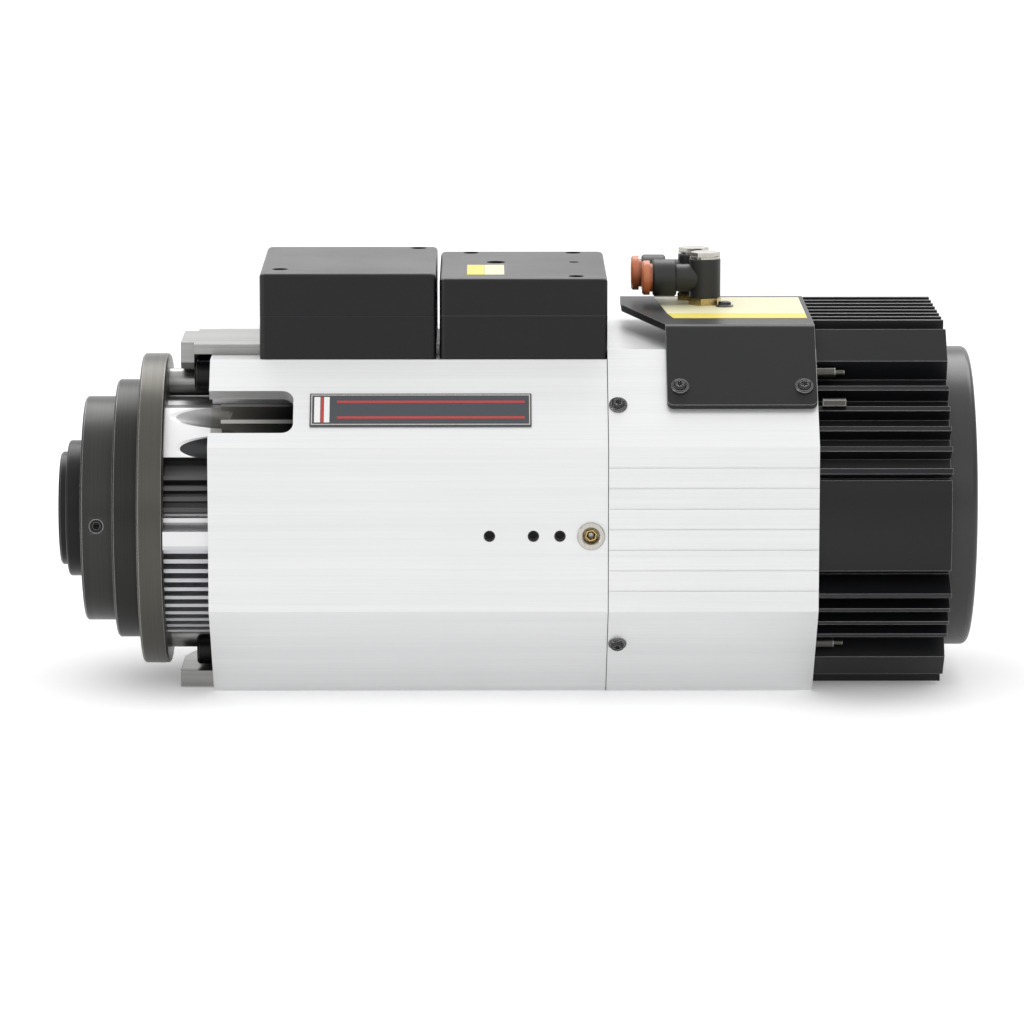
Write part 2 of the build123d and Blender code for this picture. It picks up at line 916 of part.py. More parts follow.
# ---------------------------------------------------------------------------
# Body
# ---------------------------------------------------------------------------
def housing_cavity():
    """Room inside the front housing: follows the plain side, round at the mounting side."""
    inner = body_section(
        side_y - wall, mount_y - wall, front_wall_top, base_z + wall,
        front_chamfer_offset - wall * math.sqrt(2), lower_chamfer_leg - wall * (2 - math.sqrt(2)))
    plain_half = Pos(-side_y, 0) * Rectangle(2 * side_y, 4 * side_y)
    cavity = inner & (Circle(housing_bore) + plain_half)
    web = Rectangle(2 * web_half_width, side_y)
    for side in (-1, 1):
        cavity -= Pos(0, side * (jacket_flat_z + side_y / 2)) * web
    return cavity


def vent_slot():
    """Slot through the upper facet, open at the front end and rounded at the rear."""
    length = 2 * slot_length
    window = RectangleRounded(length, slot_width, slot_radius)
    cutter = extrude(window, wall * 3, both=True)
    return facet(x_front, slot_centre_y, slot_centre_z, upper_facet) * cutter


def bolt_sites():
    return [(across * bolt_y, up * bolt_z) for across in (-1, 1) for up in (-1, 1)]


def base_rail_channel(x0, x1):
    depth = base_rail_thickness + base_rail_recess + small_clearance
    width = 2 * (rail_half_width + small_clearance)
    return along_x(Pos(0, base_z + depth / 2) * Rectangle(width, depth), x0, x1)


def port_hole(x):
    return Pos(x, -side_y, 0) * Rot(X=plain_side) * hanging(port_hole_radius, port_hole_depth)


def make_front_housing():
    outer = body_section(side_y, mount_y, front_top_z, base_z, front_chamfer_offset, lower_chamfer_leg)
    housing = along_x(outer - housing_cavity(), x_front, x_joint)
    housing -= tee_cuts(x_front, x_joint)
    housing -= base_rail_channel(x_front, x_joint)
    housing -= vent_slot()
    housing -= [disc(x_front, x_front + bolt_shank_length, bolt_radius + small_clearance, y=y, z=z)
                for y, z in bolt_sites()]
    housing -= [port_hole(x) for x in port_hole_stations]
    seat = hanging(air_port_stem_radius + small_clearance, air_port_depth)
    seat = Pos(air_port_station, -side_y, 0) * Rot(X=plain_side) * seat
    return housing - seat


def make_rear_housing():
    outer = body_section(rear_side_y, mount_y, rear_top_z, base_z, rear_chamfer_offset, lower_chamfer_leg)
    housing = along_x(outer - Circle(housing_bore), x_joint, x_cowl)
    housing -= tee_cuts(x_joint, x_cowl)
    middle = (x_joint + x_cowl) / 2
    for i in range(groove_count):
        z = groove_top_z - groove_pitch * i
        housing -= Pos(middle, -rear_side_y, z) * Box(rear_housing_length, 2 * groove_depth, groove_width)
    housing -= [place * Cylinder(pan_shank_radius + small_clearance, 2 * pan_shank_length)
                for place in housing_screw_places() + bracket_screw_places()]
    for x, y in fitting_sites:
        housing -= Pos(x, y, rear_top_z) * Cylinder(stem_radius + small_clearance, 2 * port_depth())
    x, y = standoff_site
    housing -= Pos(x, y, rear_top_z) * Cylinder(pan_shank_radius + small_clearance, pan_shank_length)
    return housing


def port_depth():
    return stem_depth - (bracket_top_z - rear_top_z)


def make_spacer_columns():
    return group([disc(x_gap, x_front, column_radius, z=side * column_z) for side in (-1, 1)])


def make_housing_bolts():
    bolts = []
    for y, z in bolt_sites():
        head = disc(x_front - bolt_head_length, x_front, bolt_head_radius, y=y, z=z)
        head = chamfer(head.edges().group_by(Axis.X)[0], edge_chamfer)
        socket = Pos(y, z) * RegularPolygon(bolt_hex / math.sqrt(3), 6)
        head -= along_x(socket, x_front - bolt_head_length, x_front - bolt_head_length + bolt_hex_depth)
        shank = disc(x_front, x_front + bolt_shank_length, bolt_radius, y=y, z=z)
        bolts.append(head + shank)
    return group(bolts)


def make_top_rail():
    front = x_front - top_rail_overhang
    top = front_top_z + top_rail_thickness
    plate = along_x(Pos(0, front_top_z + top_rail_thickness / 2) * Rectangle(
        2 * rail_half_width, top_rail_thickness), front, x_joint)
    low = top - lug_height
    half = lug_half_width
    outline = [(-half, top), (half, top), (half, low + lug_chamfer), (half - lug_chamfer, low),
               (-half + lug_chamfer, low), (-half, low + lug_chamfer)]
    return plate + along_x(make_face(Polyline(*outline, close=True)), front - lug_length, front)


def make_base_rail():
    front = x_front - base_rail_overhang
    half = rail_half_width
    low = base_z + base_rail_recess
    outline = [(front, -half), (x_joint, -half), (x_joint, half), (front + base_rail_chamfer_x, half),
               (front, half - base_rail_chamfer_y)]
    return extrude(Pos(0, 0, low) * make_face(Polyline(*outline, close=True)), base_rail_thickness)


def make_air_port():
    stem = hanging(air_port_stem_radius, air_port_depth - seat_gap)
    rim = standing(air_port_radius, air_port_rim)
    rim = chamfer(rim.edges().group_by(Axis.Z)[-1], air_port_rim / 3)
    port = rim + stem - Cylinder(air_port_bore, 4 * air_port_depth)
    return Pos(air_port_station, -side_y, 0) * Rot(X=plain_side) * port


# ---------------------------------------------------------------------------
# Rear bearing carrier and release cylinder
# ---------------------------------------------------------------------------
def ring_windows(inner, outer, count, spoke):
    """Kidney windows of a spoked ring in the Y-Z section."""
    windows = Circle(outer) - Circle(inner)
    for i in range(count):
        windows -= ray(full_turn / count * (i + 0.5), 0, outer + spoke, spoke)
    return windows


def make_rear_bearing_carrier():
    end = x_joint + carrier_length + carrier_lip_length
    outer = housing_bore - small_clearance
    outline = [
        (x_joint, carrier_lip_radius), (x_joint, outer), (end, outer), (end, bearing_outer_rear),
        (rear_bearing_start, bearing_outer_rear), (rear_bearing_start, carrier_lip_radius),
    ]
    carrier = turned(outline)
    windows = ring_windows(carrier_window_inner, carrier_window_outer, carrier_window_count, carrier_spoke)
    carrier -= along_x(windows, x_joint, end)
    return carrier - [place * Cylinder(pan_shank_radius + small_clearance, 2 * pan_shank_length)
                      for place in housing_screw_places()]


def cylinder_lugs(x0, x1):
    reach = housing_bore - small_clearance
    root = cylinder_radius - root_sink
    step = full_turn / cylinder_lug_count
    lugs = [ray(diagonal + step * i, root, reach, cylinder_lug_width) for i in range(cylinder_lug_count)]
    return [along_x(lug & Circle(reach), x0, x1) for lug in lugs]


def make_release_cylinder():
    outline = [
        (cylinder_start, piston_rod_radius + piston_fit), (cylinder_start, cylinder_radius),
        (cylinder_cover_start, cylinder_radius), (cylinder_cover_start, cylinder_bore),
        (cylinder_chamber_start, cylinder_bore), (cylinder_chamber_start, piston_rod_radius + piston_fit),
    ]
    return turned(outline) + cylinder_lugs(cylinder_start, cylinder_cover_start)


def make_cylinder_cover():
    return rimmed_ring(cylinder_cover_start, cylinder_end, cylinder_radius, 0)


def make_release_piston():
    rim = cylinder_bore - piston_fit
    middle = (piston_start + piston_end) / 2
    outline = [
        (drawbar_end + seat_gap, 0), (drawbar_end + seat_gap, piston_rod_radius),
        (piston_start, piston_rod_radius), (piston_start, rim),
        (middle - seal_section / 2, rim), (middle - seal_section / 2, rim - seal_section),
        (middle + seal_section / 2, rim - seal_section), (middle + seal_section / 2, rim),
        (piston_end, rim), (piston_end, 0),
    ]
    return turned(outline)


def make_piston_seal():
    rim = cylinder_bore - piston_fit
    middle = (piston_start + piston_end) / 2
    return disc(middle - seal_section / 2, middle + seal_section / 2, rim, rim - seal_section)


# ---------------------------------------------------------------------------
# Fan end
# ---------------------------------------------------------------------------
def cowl_section():
    """Round shell with fins and bands that reach the chamfered outline of the body."""
    envelope = body_section(cowl_side_y, cowl_far_y, cowl_top_z, cowl_bottom_z, cowl_chamfer_offset,
                            cowl_lower_leg)
    root = cowl_shell_radius - root_sink
    reach = 2 * cowl_side_y
    section = Circle(cowl_shell_radius)
    for angle in side_fin_angles + low_fin_angles:
        section += ray(angle, root, reach, cowl_fin_width)
    section += ray(upper_band_angle, root, reach, upper_band_width)
    section += ray(lower_band_angle, root, reach, lower_band_width)
    section += sector(smooth_radius, smooth_low, smooth_high)
    section = Pos(0, fan_z) * section
    for y in straight_fin_row(top_fin_first_y, top_fin_count):
        section += straight_fin(y, cowl_top_z - fan_z)
    for y in straight_fin_row(base_fin_first_y, base_fin_count):
        section += straight_fin(y, cowl_bottom_z - fan_z)
    for z in straight_fin_row(far_fin_first_z, far_fin_count):
        section += Pos(0, fan_z) * Rot(Z=-90) * Pos(0, -fan_z) * straight_fin(-z, cowl_far_y)
    return (section & envelope) - Pos(0, fan_z) * Circle(cowl_bore)


def straight_fin_row(first, count):
    return [first + straight_fin_pitch * i for i in range(count)]


def straight_fin(offset, reach):
    """An upright fin beside the fan's centre line, from the round shell out to a flat face."""
    root = cowl_shell_radius - root_sink
    foot = math.sqrt(root ** 2 - min(abs(offset), root - cowl_fin_width) ** 2)
    tip = abs(reach)
    side = math.copysign(1, reach)
    return Pos(offset, fan_z + side * (foot + tip) / 2) * Rectangle(cowl_fin_width, tip - foot)


def make_fan_cowl():
    return along_x(cowl_section(), x_cowl, x_guard)


def make_cowl_posts():
    posts = []
    for y, z in cowl_post_sites:
        body = disc(x_cowl, x_cowl + cowl_post_length, cowl_post_radius, y=y, z=z)
        tip_start = x_cowl + cowl_post_length
        tip = disc(tip_start, tip_start + cowl_post_tip_length, cowl_post_tip_radius, y=y, z=z)
        posts.append(body + tip)
    return group(posts)


def make_fan_motor():
    start = x_cowl + fan_motor_inset
    end = start + fan_motor_length
    can = rimmed_ring(start, end, fan_motor_radius, 0)
    reach = cowl_bore - small_clearance
    root = fan_motor_radius - root_sink
    step = full_turn / fan_arm_count
    arm_sections = [ray(diagonal + step * i, root, reach, fan_arm_width) for i in range(fan_arm_count)]
    arms = [along_x(arm & Circle(reach), start, start + fan_arm_length) for arm in arm_sections]
    pin = disc(end, end + fan_pin_length, fan_pin_radius)
    return Pos(0, 0, fan_z) * (can + arms + pin)


def fan_blade(start):
    """One twisted blade, from a steep root to a flatter tip."""
    middle = start + fan_hub_length / 2
    sections = []
    for radius, chord, pitch in ((fan_hub_radius - fan_blade_sink, fan_root_chord, fan_root_pitch),
                                 (fan_tip_radius, fan_tip_chord, fan_tip_pitch)):
        profile = Rot(Z=pitch) * Rectangle(chord, fan_blade_thickness)
        sections.append(Plane.XY.offset(radius) * profile)
    blade = loft(sections)
    return Pos(middle, 0, 0) * blade


def make_fan_impeller():
    start = x_cowl + fan_motor_inset + fan_motor_length + seat_gap
    hub = rimmed_ring(start, start + fan_hub_length, fan_hub_radius, 0)
    hub -= disc(start, start + fan_pin_length, fan_pin_radius + fan_fit)
    wheel = hub + spun(fan_blade(start), fan_blade_count)
    return Pos(0, 0, fan_z) * wheel


def make_fan_guard():
    """Round cover with a ring grille."""
    skirt = disc(x_guard, x_end, guard_radius)
    skirt = fillet(skirt.edges().group_by(Axis.X)[-1], guard_edge_radius)
    skirt -= disc(x_guard, x_end - guard_plate, guard_radius - guard_rim)
    pitch = (guard_radius - guard_rim - guard_hub_radius) / guard_ring_count
    for i in range(guard_ring_count):
        inner = guard_hub_radius + pitch * i
        outer = inner + pitch - guard_ring_width
        windows = ring_windows(inner, outer, guard_spokes, guard_spoke_width)
        skirt -= along_x(windows, x_end - 2 * guard_plate, x_end)
    return Pos(0, 0, fan_z) * skirt


# ---------------------------------------------------------------------------
# Connection boxes
# ---------------------------------------------------------------------------
def box_block(x0, length, z0, z1):
    middle_y = (box_near_y + box_far_y) / 2
    section = RectangleRounded(length, box_far_y - box_near_y, box_edge)
    return extrude(Pos(x0 + length / 2, middle_y, z0) * section, z1 - z0)


def box_room(x0, length, z0, z1):
    middle_y = (box_near_y + box_far_y) / 2
    section = Rectangle(length - 2 * box_wall, box_far_y - box_near_y - 2 * box_wall)
    return extrude(Pos(x0 + length / 2, middle_y, z0) * section, z1 - z0)


def gland_place(x0, length):
    return Pos(x0 + length / 2, box_far_y, gland_z) * Rot(X=-90)


def rail_tunnel(x0, length):
    width = 2 * (rail_half_width + small_clearance)
    height = top_rail_thickness + small_clearance
    return Pos(x0 + length / 2, 0, front_top_z + height / 2) * Box(length, width, height)


def lid_sites(x0, length, inset_x, inset_near, corners):
    """Places of the lid screws, each given by its end and its side as -1 or 1."""
    across = {-1: x0 + inset_x, 1: x0 + length - inset_x}
    along = {-1: box_near_y + inset_near, 1: box_far_y - lid_far_inset}
    return [(across[end], along[side]) for end, side in corners]


def power_lid_sites():
    return lid_sites(box_start, power_box_length, power_screw_inset_x, power_screw_inset_y,
                     power_screw_corners)


def signal_lid_sites():
    return lid_sites(signal_box_start, signal_box_length, signal_screw_inset_x, signal_screw_inset_y,
                     signal_screw_corners)


def make_box_base(x0, length):
    floor = front_top_z + top_rail_thickness + box_floor
    base = box_block(x0, length, front_top_z, seam_z) - box_room(x0, length, floor, seam_z)
    base -= rail_tunnel(x0, length)
    return base - gland_place(x0, length) * Cylinder(gland_thread + gland_hole_clearance, 4 * box_wall)


def make_box_lid(x0, length, top, sites):
    lid = box_block(x0, length, seam_z, top)
    lid = fillet(lid.edges().group_by(Axis.Z)[-1], lid_edge)
    lid -= box_room(x0, length, seam_z, top - box_wall)
    for x, y in sites:
        lid += Pos(x, y, 0) * extrude(Pos(0, 0, seam_z) * Circle(lid_boss), top - seam_z - box_wall / 2)
    for x, y in sites:
        lid -= Pos(x, y, top) * Cylinder(lid_screw_hole, 2 * (lid_screw_sink + lid_screw_head_length))
        lid -= Pos(x, y, seam_z) * Cylinder(lid_screw_shank + small_clearance, 2 * (top - seam_z))
    return lid


def make_power_box_base():
    return make_box_base(box_start, power_box_length)


def make_power_box_lid():
    return make_box_lid(box_start, power_box_length, power_box_top, power_lid_sites())


def make_signal_box_base():
    return make_box_base(signal_box_start, signal_box_length)


def make_signal_box_lid():
    lid = make_box_lid(signal_box_start, signal_box_length, signal_box_top, signal_lid_sites())
    for x, y, radius in service_holes:
        place = Pos(signal_box_start + x, box_near_y + y, signal_box_top)
        lid -= place * Cylinder(radius, 2 * service_hole_depth)
    return lid


def make_lid_screws():
    screws = []
    for top, sites in ((power_box_top, power_lid_sites()), (signal_box_top, signal_lid_sites())):
        for x, y in sites:
            seat = top - lid_screw_sink - lid_screw_head_length
            head = standing(lid_screw_head, lid_screw_head_length)
            socket = Pos(0, 0, lid_screw_head_length) * extrude(RegularPolygon(pan_recess_radius, 6),
                                                                -pan_recess_depth)
            shank = hanging(lid_screw_shank, seat - seam_z)
            screws.append(Pos(x, y, seat) * (head - socket + shank))
    return group(screws)


def box_floor_z():
    return front_top_z + top_rail_thickness + box_floor


def make_terminal_block():
    middle_x = box_start + power_box_length / 2
    middle_y = (box_near_y + box_far_y) / 2
    block = standing_box(terminal_length, terminal_depth, terminal_height)
    pitch = terminal_length / terminal_count
    for i in range(terminal_count):
        x = pitch * (i + 0.5) - terminal_length / 2
        block -= Pos(x, 0, terminal_height) * Box(terminal_slot, terminal_depth, terminal_height / 2)
    return Pos(middle_x, middle_y, box_floor_z()) * block


def make_signal_board():
    room_x = signal_box_length - 2 * (box_wall + board_margin)
    room_y = box_far_y - box_near_y - 2 * (box_wall + board_margin)
    middle = (signal_box_start + signal_box_length / 2, (box_near_y + box_far_y) / 2)
    board = standing_box(room_x, room_y, board_thickness)
    header = Pos(0, 0, board_thickness) * standing_box(header_length, header_width, header_height)
    return Pos(*middle, box_floor_z()) * (board + header)


def make_cable_glands():
    glands = []
    for x0, length in ((box_start, power_box_length), (signal_box_start, signal_box_length)):
        thread = hanging(gland_thread, box_wall)
        nut = Pos(0, 0, gland_hex_length) * standing(gland_nut_radius, gland_nut_length)
        nut = fillet(nut.edges().group_by(Axis.Z)[-1], gland_nut_length / 4)
        body = hex_bar(gland_hex, gland_hex_length) + thread + nut
        glands.append(gland_place(x0, length) * (body - Cylinder(gland_bore, 4 * gland_nut_length)))
    return group(glands)


# ---------------------------------------------------------------------------
# Plate, bracket and air fittings
# ---------------------------------------------------------------------------
def make_name_plate():
    middle_x = plate_start + plate_length / 2
    place = facet(middle_x, plate_centre_y, plate_centre_y + front_chamfer_offset, upper_facet)
    return place * standing_box(plate_length, plate_width, plate_thickness)



def bracket_screw_places():
    z = bracket_screw_y + bracket_offset
    return [facet(x, bracket_screw_y, z, upper_facet)
            for x in (bracket_flange_start + bracket_screw_inset, bracket_end - bracket_screw_inset)]


def housing_screw_places():
    x = x_joint + housing_screw_inset
    upper = facet(x, housing_screw_upper_y, housing_screw_upper_y + rear_chamfer_offset, upper_facet)
    lower_z = base_z + lower_chamfer_leg - rear_side_y - housing_screw_lower_y
    return [upper, facet(x, housing_screw_lower_y, lower_z, lower_facet)]


def make_fitting_bracket():
    """Bent sheet: a flat top with a cut corner and a flange along the upper facet."""
    low = bracket_top_z - bracket_thickness
    lean = bracket_thickness / math.sqrt(2)
    outline = [
        (bracket_far_y, bracket_top_z),
        (bracket_bend_y, bracket_top_z),
        (bracket_flange_foot_y, bracket_flange_foot_y + bracket_offset),
        (bracket_flange_foot_y + lean, bracket_flange_foot_y + bracket_offset - lean),
        (low - rear_chamfer_offset, low),
        (bracket_far_y, low),
    ]
    sheet = along_x(make_face(Polyline(*outline, close=True)), bracket_flange_start, bracket_end)
    bend = [e for e in sheet.edges().filter_by(Axis.X)
            if abs(e.center().Y - bracket_bend_y) < small_clearance and e.center().Z > low + lean]
    sheet = fillet(bend, bracket_bend)
    foot = [e for e in sheet.edges()
            if e.length < bracket_thickness + small_clearance
            and abs(e.tangent_at(0.5).X) < small_clearance
            and e.center().Z < low - bracket_thickness]
    sheet = fillet(foot, bracket_corner)
    tip = make_face(Polyline(
        (bracket_flange_start, bracket_bend_y + bracket_bend / 2), (bracket_tip_x, bracket_tip_y),
        (bracket_tip_x, bracket_far_y), (bracket_flange_start, bracket_far_y), close=True))
    sheet += extrude(Pos(0, 0, low) * tip, bracket_thickness)
    for x, y in fitting_sites:
        sheet -= Pos(x, y, low) * Cylinder(stem_radius + small_clearance, 4 * bracket_thickness)
    x, y = standoff_site
    sheet -= Pos(x, y, low) * Cylinder(pan_shank_radius + small_clearance, 4 * bracket_thickness)
    return sheet - [place * Cylinder(pan_shank_radius + small_clearance, 2 * bracket_thickness)
                    for place in bracket_screw_places()]


def make_pan_screws():
    places = bracket_screw_places() + housing_screw_places()
    screws = [place * pan_screw(pan_shank_length) for place in places]
    x, y = standoff_site
    top_shank = bracket_top_z - rear_top_z + pan_shank_length / 2 - seat_gap
    screws.append(Pos(x, y, bracket_top_z) * pan_screw(top_shank))
    return group(screws)


def make_bracket_spacers():
    height = bracket_top_z - bracket_thickness - rear_top_z
    spacers = []
    for x, y in fitting_sites:
        tube = extrude(Circle(boss_radius) - Circle(stem_radius + small_clearance), height)
        spacers.append(Pos(x, y, rear_top_z) * tube)
    x, y = standoff_site
    tube = extrude(Circle(standoff_radius) - Circle(pan_shank_radius + small_clearance), height)
    return group(spacers + [Pos(x, y, rear_top_z) * tube])


def elbow_base_z():
    return bracket_top_z + hex_height + swivel_fit


def make_fitting_stems():
    stems = []
    reach = hex_height + elbow_height + 2 * swivel_fit
    for x, y in fitting_sites:
        stem = hex_bar(hex_across_flats, hex_height, turn=hex_turn)
        stem += extrude(Circle(stem_radius), reach)
        stem += extrude(Circle(stem_radius), seat_gap - stem_depth)
        stems.append(Pos(x, y, bracket_top_z) * stem)
    return group(stems)


def make_fitting_caps():
    z = elbow_base_z() + elbow_height + swivel_fit
    caps = []
    for x, y in fitting_sites:
        cap = extrude(Circle(cap_radius), cap_disc_height) + hex_bar(cap_across_flats, cap_height)
        caps.append(Pos(x, y, z) * cap)
    return group(caps)


def elbow():
    """Swivelling elbow, its barrel pointing forwards; the origin is on the swivel axis at its foot."""
    upright = extrude(Circle(elbow_radius), elbow_height)
    upright = fillet(upright.edges(), edge_chamfer / 2)
    barrel_z = elbow_height / 2
    mouth = -barrel_reach
    barrel = disc(mouth, mouth + barrel_length, barrel_radius)
    barrel = chamfer(barrel.edges(), edge_chamfer)
    neck = disc(mouth + barrel_length, 0, neck_radius)
    room = sleeve_length + ring_travel
    socket = disc(mouth, mouth + room, sleeve_radius + small_clearance)
    passage = disc(mouth, 0, tube_radius - tube_step)
    shape = upright + Pos(0, 0, barrel_z) * (barrel + neck)
    shape -= Pos(0, 0, barrel_z) * (socket + passage)
    return shape - extrude(Circle(stem_radius + swivel_fit), elbow_height)


def release_ring():
    """Push ring in the mouth of an elbow, in the elbow's frame."""
    mouth = -barrel_reach
    seat = mouth - ring_travel - small_clearance
    outline = [
        (seat - ring_length, tube_radius), (seat - ring_length, ring_radius - edge_chamfer),
        (seat - ring_length + edge_chamfer, ring_radius), (seat, ring_radius),
        (seat, sleeve_radius), (seat + sleeve_length, sleeve_radius), (seat + sleeve_length, tube_radius),
    ]
    return Pos(0, 0, elbow_height / 2) * turned(outline)


def at_fitting(index, shape):
    x, y = fitting_sites[index]
    return Pos(x, y, elbow_base_z()) * shape


# ---------------------------------------------------------------------------
# All the pieces, by name
# ---------------------------------------------------------------------------
def make_pieces():
    pieces = {
        "shaft": make_shaft(),
        "labyrinth_ring": make_labyrinth_ring(),
        "rotor_core": make_rotor_core(),
        "bearing_inner_rings": make_bearing_inner_rings(),
        "shaft_locknut": make_shaft_locknut(),
        "front_ball_set": make_front_ball_set(),
        "rear_ball_set": make_rear_ball_set(),
        "drawbar": make_drawbar(),
        "disc_springs": make_disc_springs(),
        "nose_cover": make_nose_cover(),
        "set_screws": make_set_screws(),
        "nose_screws": make_nose_screws(),
        "bearing_retainer": make_bearing_retainer(),
        "front_flange": make_front_flange(),
        "bearing_outer_rings": make_bearing_outer_rings(),
        "motor_jacket": make_motor_jacket(),
        "stator_core": make_stator_core(),
        "stator_windings": make_stator_windings(),
        "spacer_columns": make_spacer_columns(),
        "front_housing": make_front_housing(),
        "housing_bolts": make_housing_bolts(),
        "top_rail": make_top_rail(),
        "base_rail": make_base_rail(),
        "air_port": make_air_port(),
        "rear_housing": make_rear_housing(),
        "rear_bearing_carrier": make_rear_bearing_carrier(),
        "release_cylinder": make_release_cylinder(),
        "cylinder_cover": make_cylinder_cover(),
        "release_piston": make_release_piston(),
        "piston_seal": make_piston_seal(),
        "fan_cowl": make_fan_cowl(),
        "cowl_posts": make_cowl_posts(),
        "fan_motor": make_fan_motor(),
        "fan_impeller": make_fan_impeller(),
        "fan_guard": make_fan_guard(),
        "power_box_base": make_power_box_base(),
        "power_box_lid": make_power_box_lid(),
        "signal_box_base": make_signal_box_base(),
        "signal_box_lid": make_signal_box_lid(),
        "lid_screws": make_lid_screws(),
        "terminal_block": make_terminal_block(),
        "signal_board": make_signal_board(),
        "cable_glands": make_cable_glands(),
        "name_plate": make_name_plate(),
        "fitting_bracket": make_fitting_bracket(),
        "pan_screws": make_pan_screws(),
        "bracket_spacers": make_bracket_spacers(),
        "fitting_stems": make_fitting_stems(),
        "fitting_caps": make_fitting_caps(),
    }
    for index in range(finger_count):
        pieces[f"gripper_finger_{index + 1}"] = make_finger(index)
    for index, side in enumerate(("near", "far")):
        pieces[f"elbow_{side}"] = at_fitting(index, elbow())
        pieces[f"release_ring_{side}"] = at_fitting(index, release_ring())
    return pieces


os.makedirs("parts", exist_ok=True)
for name, piece in make_pieces().items():
    export_step(piece, f"parts/{name}.step")
    print(f"{name}: {len(piece.solids())} solid(s), {piece.volume / 1000:.1f} cm3")
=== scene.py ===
# %% [markdown]
# # A motor spindle, dressed in Blender
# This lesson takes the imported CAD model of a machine-tool motor spindle and gives it
# finishes, fine edges, small fittings, a floor, lights and a camera. Everything is in
# metres, in the frame of the CAD: X runs back along the spindle from the nose, Z is up,
# and the plain side of the body looks along -Y.

# %% Load the frame
import math

import bmesh
import bpy
from mathutils import Matrix, Vector


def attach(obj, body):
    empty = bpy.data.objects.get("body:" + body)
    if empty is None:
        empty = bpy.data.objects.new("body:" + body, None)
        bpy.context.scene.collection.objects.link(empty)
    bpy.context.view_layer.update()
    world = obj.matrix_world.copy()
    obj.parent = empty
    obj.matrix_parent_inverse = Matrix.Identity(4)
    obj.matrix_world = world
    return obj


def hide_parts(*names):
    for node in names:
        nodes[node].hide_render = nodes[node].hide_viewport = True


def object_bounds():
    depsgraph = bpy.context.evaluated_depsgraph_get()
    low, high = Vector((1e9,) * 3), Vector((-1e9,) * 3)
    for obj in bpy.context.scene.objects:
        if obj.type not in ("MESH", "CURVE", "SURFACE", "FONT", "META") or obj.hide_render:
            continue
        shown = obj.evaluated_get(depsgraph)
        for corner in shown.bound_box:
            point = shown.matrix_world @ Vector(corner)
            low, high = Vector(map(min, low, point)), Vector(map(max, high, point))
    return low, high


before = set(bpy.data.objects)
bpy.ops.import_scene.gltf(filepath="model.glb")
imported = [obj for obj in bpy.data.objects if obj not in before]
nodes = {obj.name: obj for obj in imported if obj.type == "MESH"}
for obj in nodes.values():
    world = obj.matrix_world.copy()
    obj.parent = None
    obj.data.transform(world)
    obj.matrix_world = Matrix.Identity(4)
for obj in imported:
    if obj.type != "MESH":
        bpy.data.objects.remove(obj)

MM = 0.001
cad_low, cad_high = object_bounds()

# %% [markdown]
# ## Camera
# The spindle is looked at from its plain side, from two and a half metres away and a
# little above.  A wide lens close by would stretch the nose, so a long lens is used from
# far away: it keeps the rings round and the edges of the body nearly parallel.

# %% Make the camera
CAMERA_PLACE = (0.18616, -2.44737, 0.40526)
CAMERA_PITCH = 80.551
CAMERA_YAW = -0.303
LENS = 196.875
SENSOR = 36.0
FAR_CLIP = 50.0

camera_data = bpy.data.cameras.new("catalogue_camera")
camera_data.lens = LENS
camera_data.sensor_width = SENSOR
camera_data.clip_end = FAR_CLIP
camera = bpy.data.objects.new("catalogue_camera", camera_data)
camera.location = CAMERA_PLACE
camera.rotation_euler = (math.radians(CAMERA_PITCH), 0.0, math.radians(CAMERA_YAW))
bpy.context.scene.collection.objects.link(camera)
bpy.context.scene.camera = camera
print("camera lens", LENS, "mm")

# %% [markdown]
# ## Effects that several finishes share
# Metal and plastic never look right as one flat colour.  Each effect below is a node
# group: it takes a place on the piece and gives back a mask from 0 to 1.  The same nodes
# could be copied into every material, but a group is built once and each material only
# sets its sliders.  The groups never hold a shader, so the shaders stay where they can be
# seen.  First come the helpers that add and join the nodes.

# %% Helpers that start a group and add a node
def add(tree, kind, **settings):
    """Adds a node and sets its properties."""
    node = tree.nodes.new(kind)
    for key, value in settings.items():
        setattr(node, key, value)
    return node


def start_group(name, sliders):
    """A group with a Place input, the sliders given as (name, value), and a Mask output."""
    group = bpy.data.node_groups.new(name, "ShaderNodeTree")
    sockets = group.interface
    sockets.new_socket("Place", in_out="INPUT", socket_type="NodeSocketVector")
    for slider, value in sliders:
        socket = sockets.new_socket(slider, in_out="INPUT", socket_type="NodeSocketFloat")
        socket.default_value = value
    sockets.new_socket("Mask", in_out="OUTPUT", socket_type="NodeSocketFloat")
    return group, add(group, "NodeGroupInput"), add(group, "NodeGroupOutput")


effects = {}
print("groups so far:", len(effects))

# %% Helpers that work with numbers and vectors
def maths(tree, operation, *values, clamp=False):
    """One Math node; each value is a number or a socket."""
    node = add(tree, "ShaderNodeMath", operation=operation, use_clamp=clamp)
    for socket, value in zip(node.inputs, values):
        if isinstance(value, (int, float)):
            socket.default_value = value
        else:
            tree.links.new(value, socket)
    return node.outputs[0]


def stretch(tree, vector, scale):
    """Multiplies a vector by three numbers, so that a pattern is drawn out along one axis."""
    node = add(tree, "ShaderNodeVectorMath", operation="MULTIPLY")
    tree.links.new(vector, node.inputs[0])
    node.inputs[1].default_value = scale
    return node.outputs[0]


def finer(tree, vector, inputs):
    """Multiplies a vector by the Fineness slider of its group."""
    node = add(tree, "ShaderNodeVectorMath", operation="SCALE")
    tree.links.new(vector, node.inputs[0])
    tree.links.new(inputs.outputs["Fineness"], node.inputs["Scale"])
    return node.outputs[0]


print("number helpers: maths, stretch, finer")

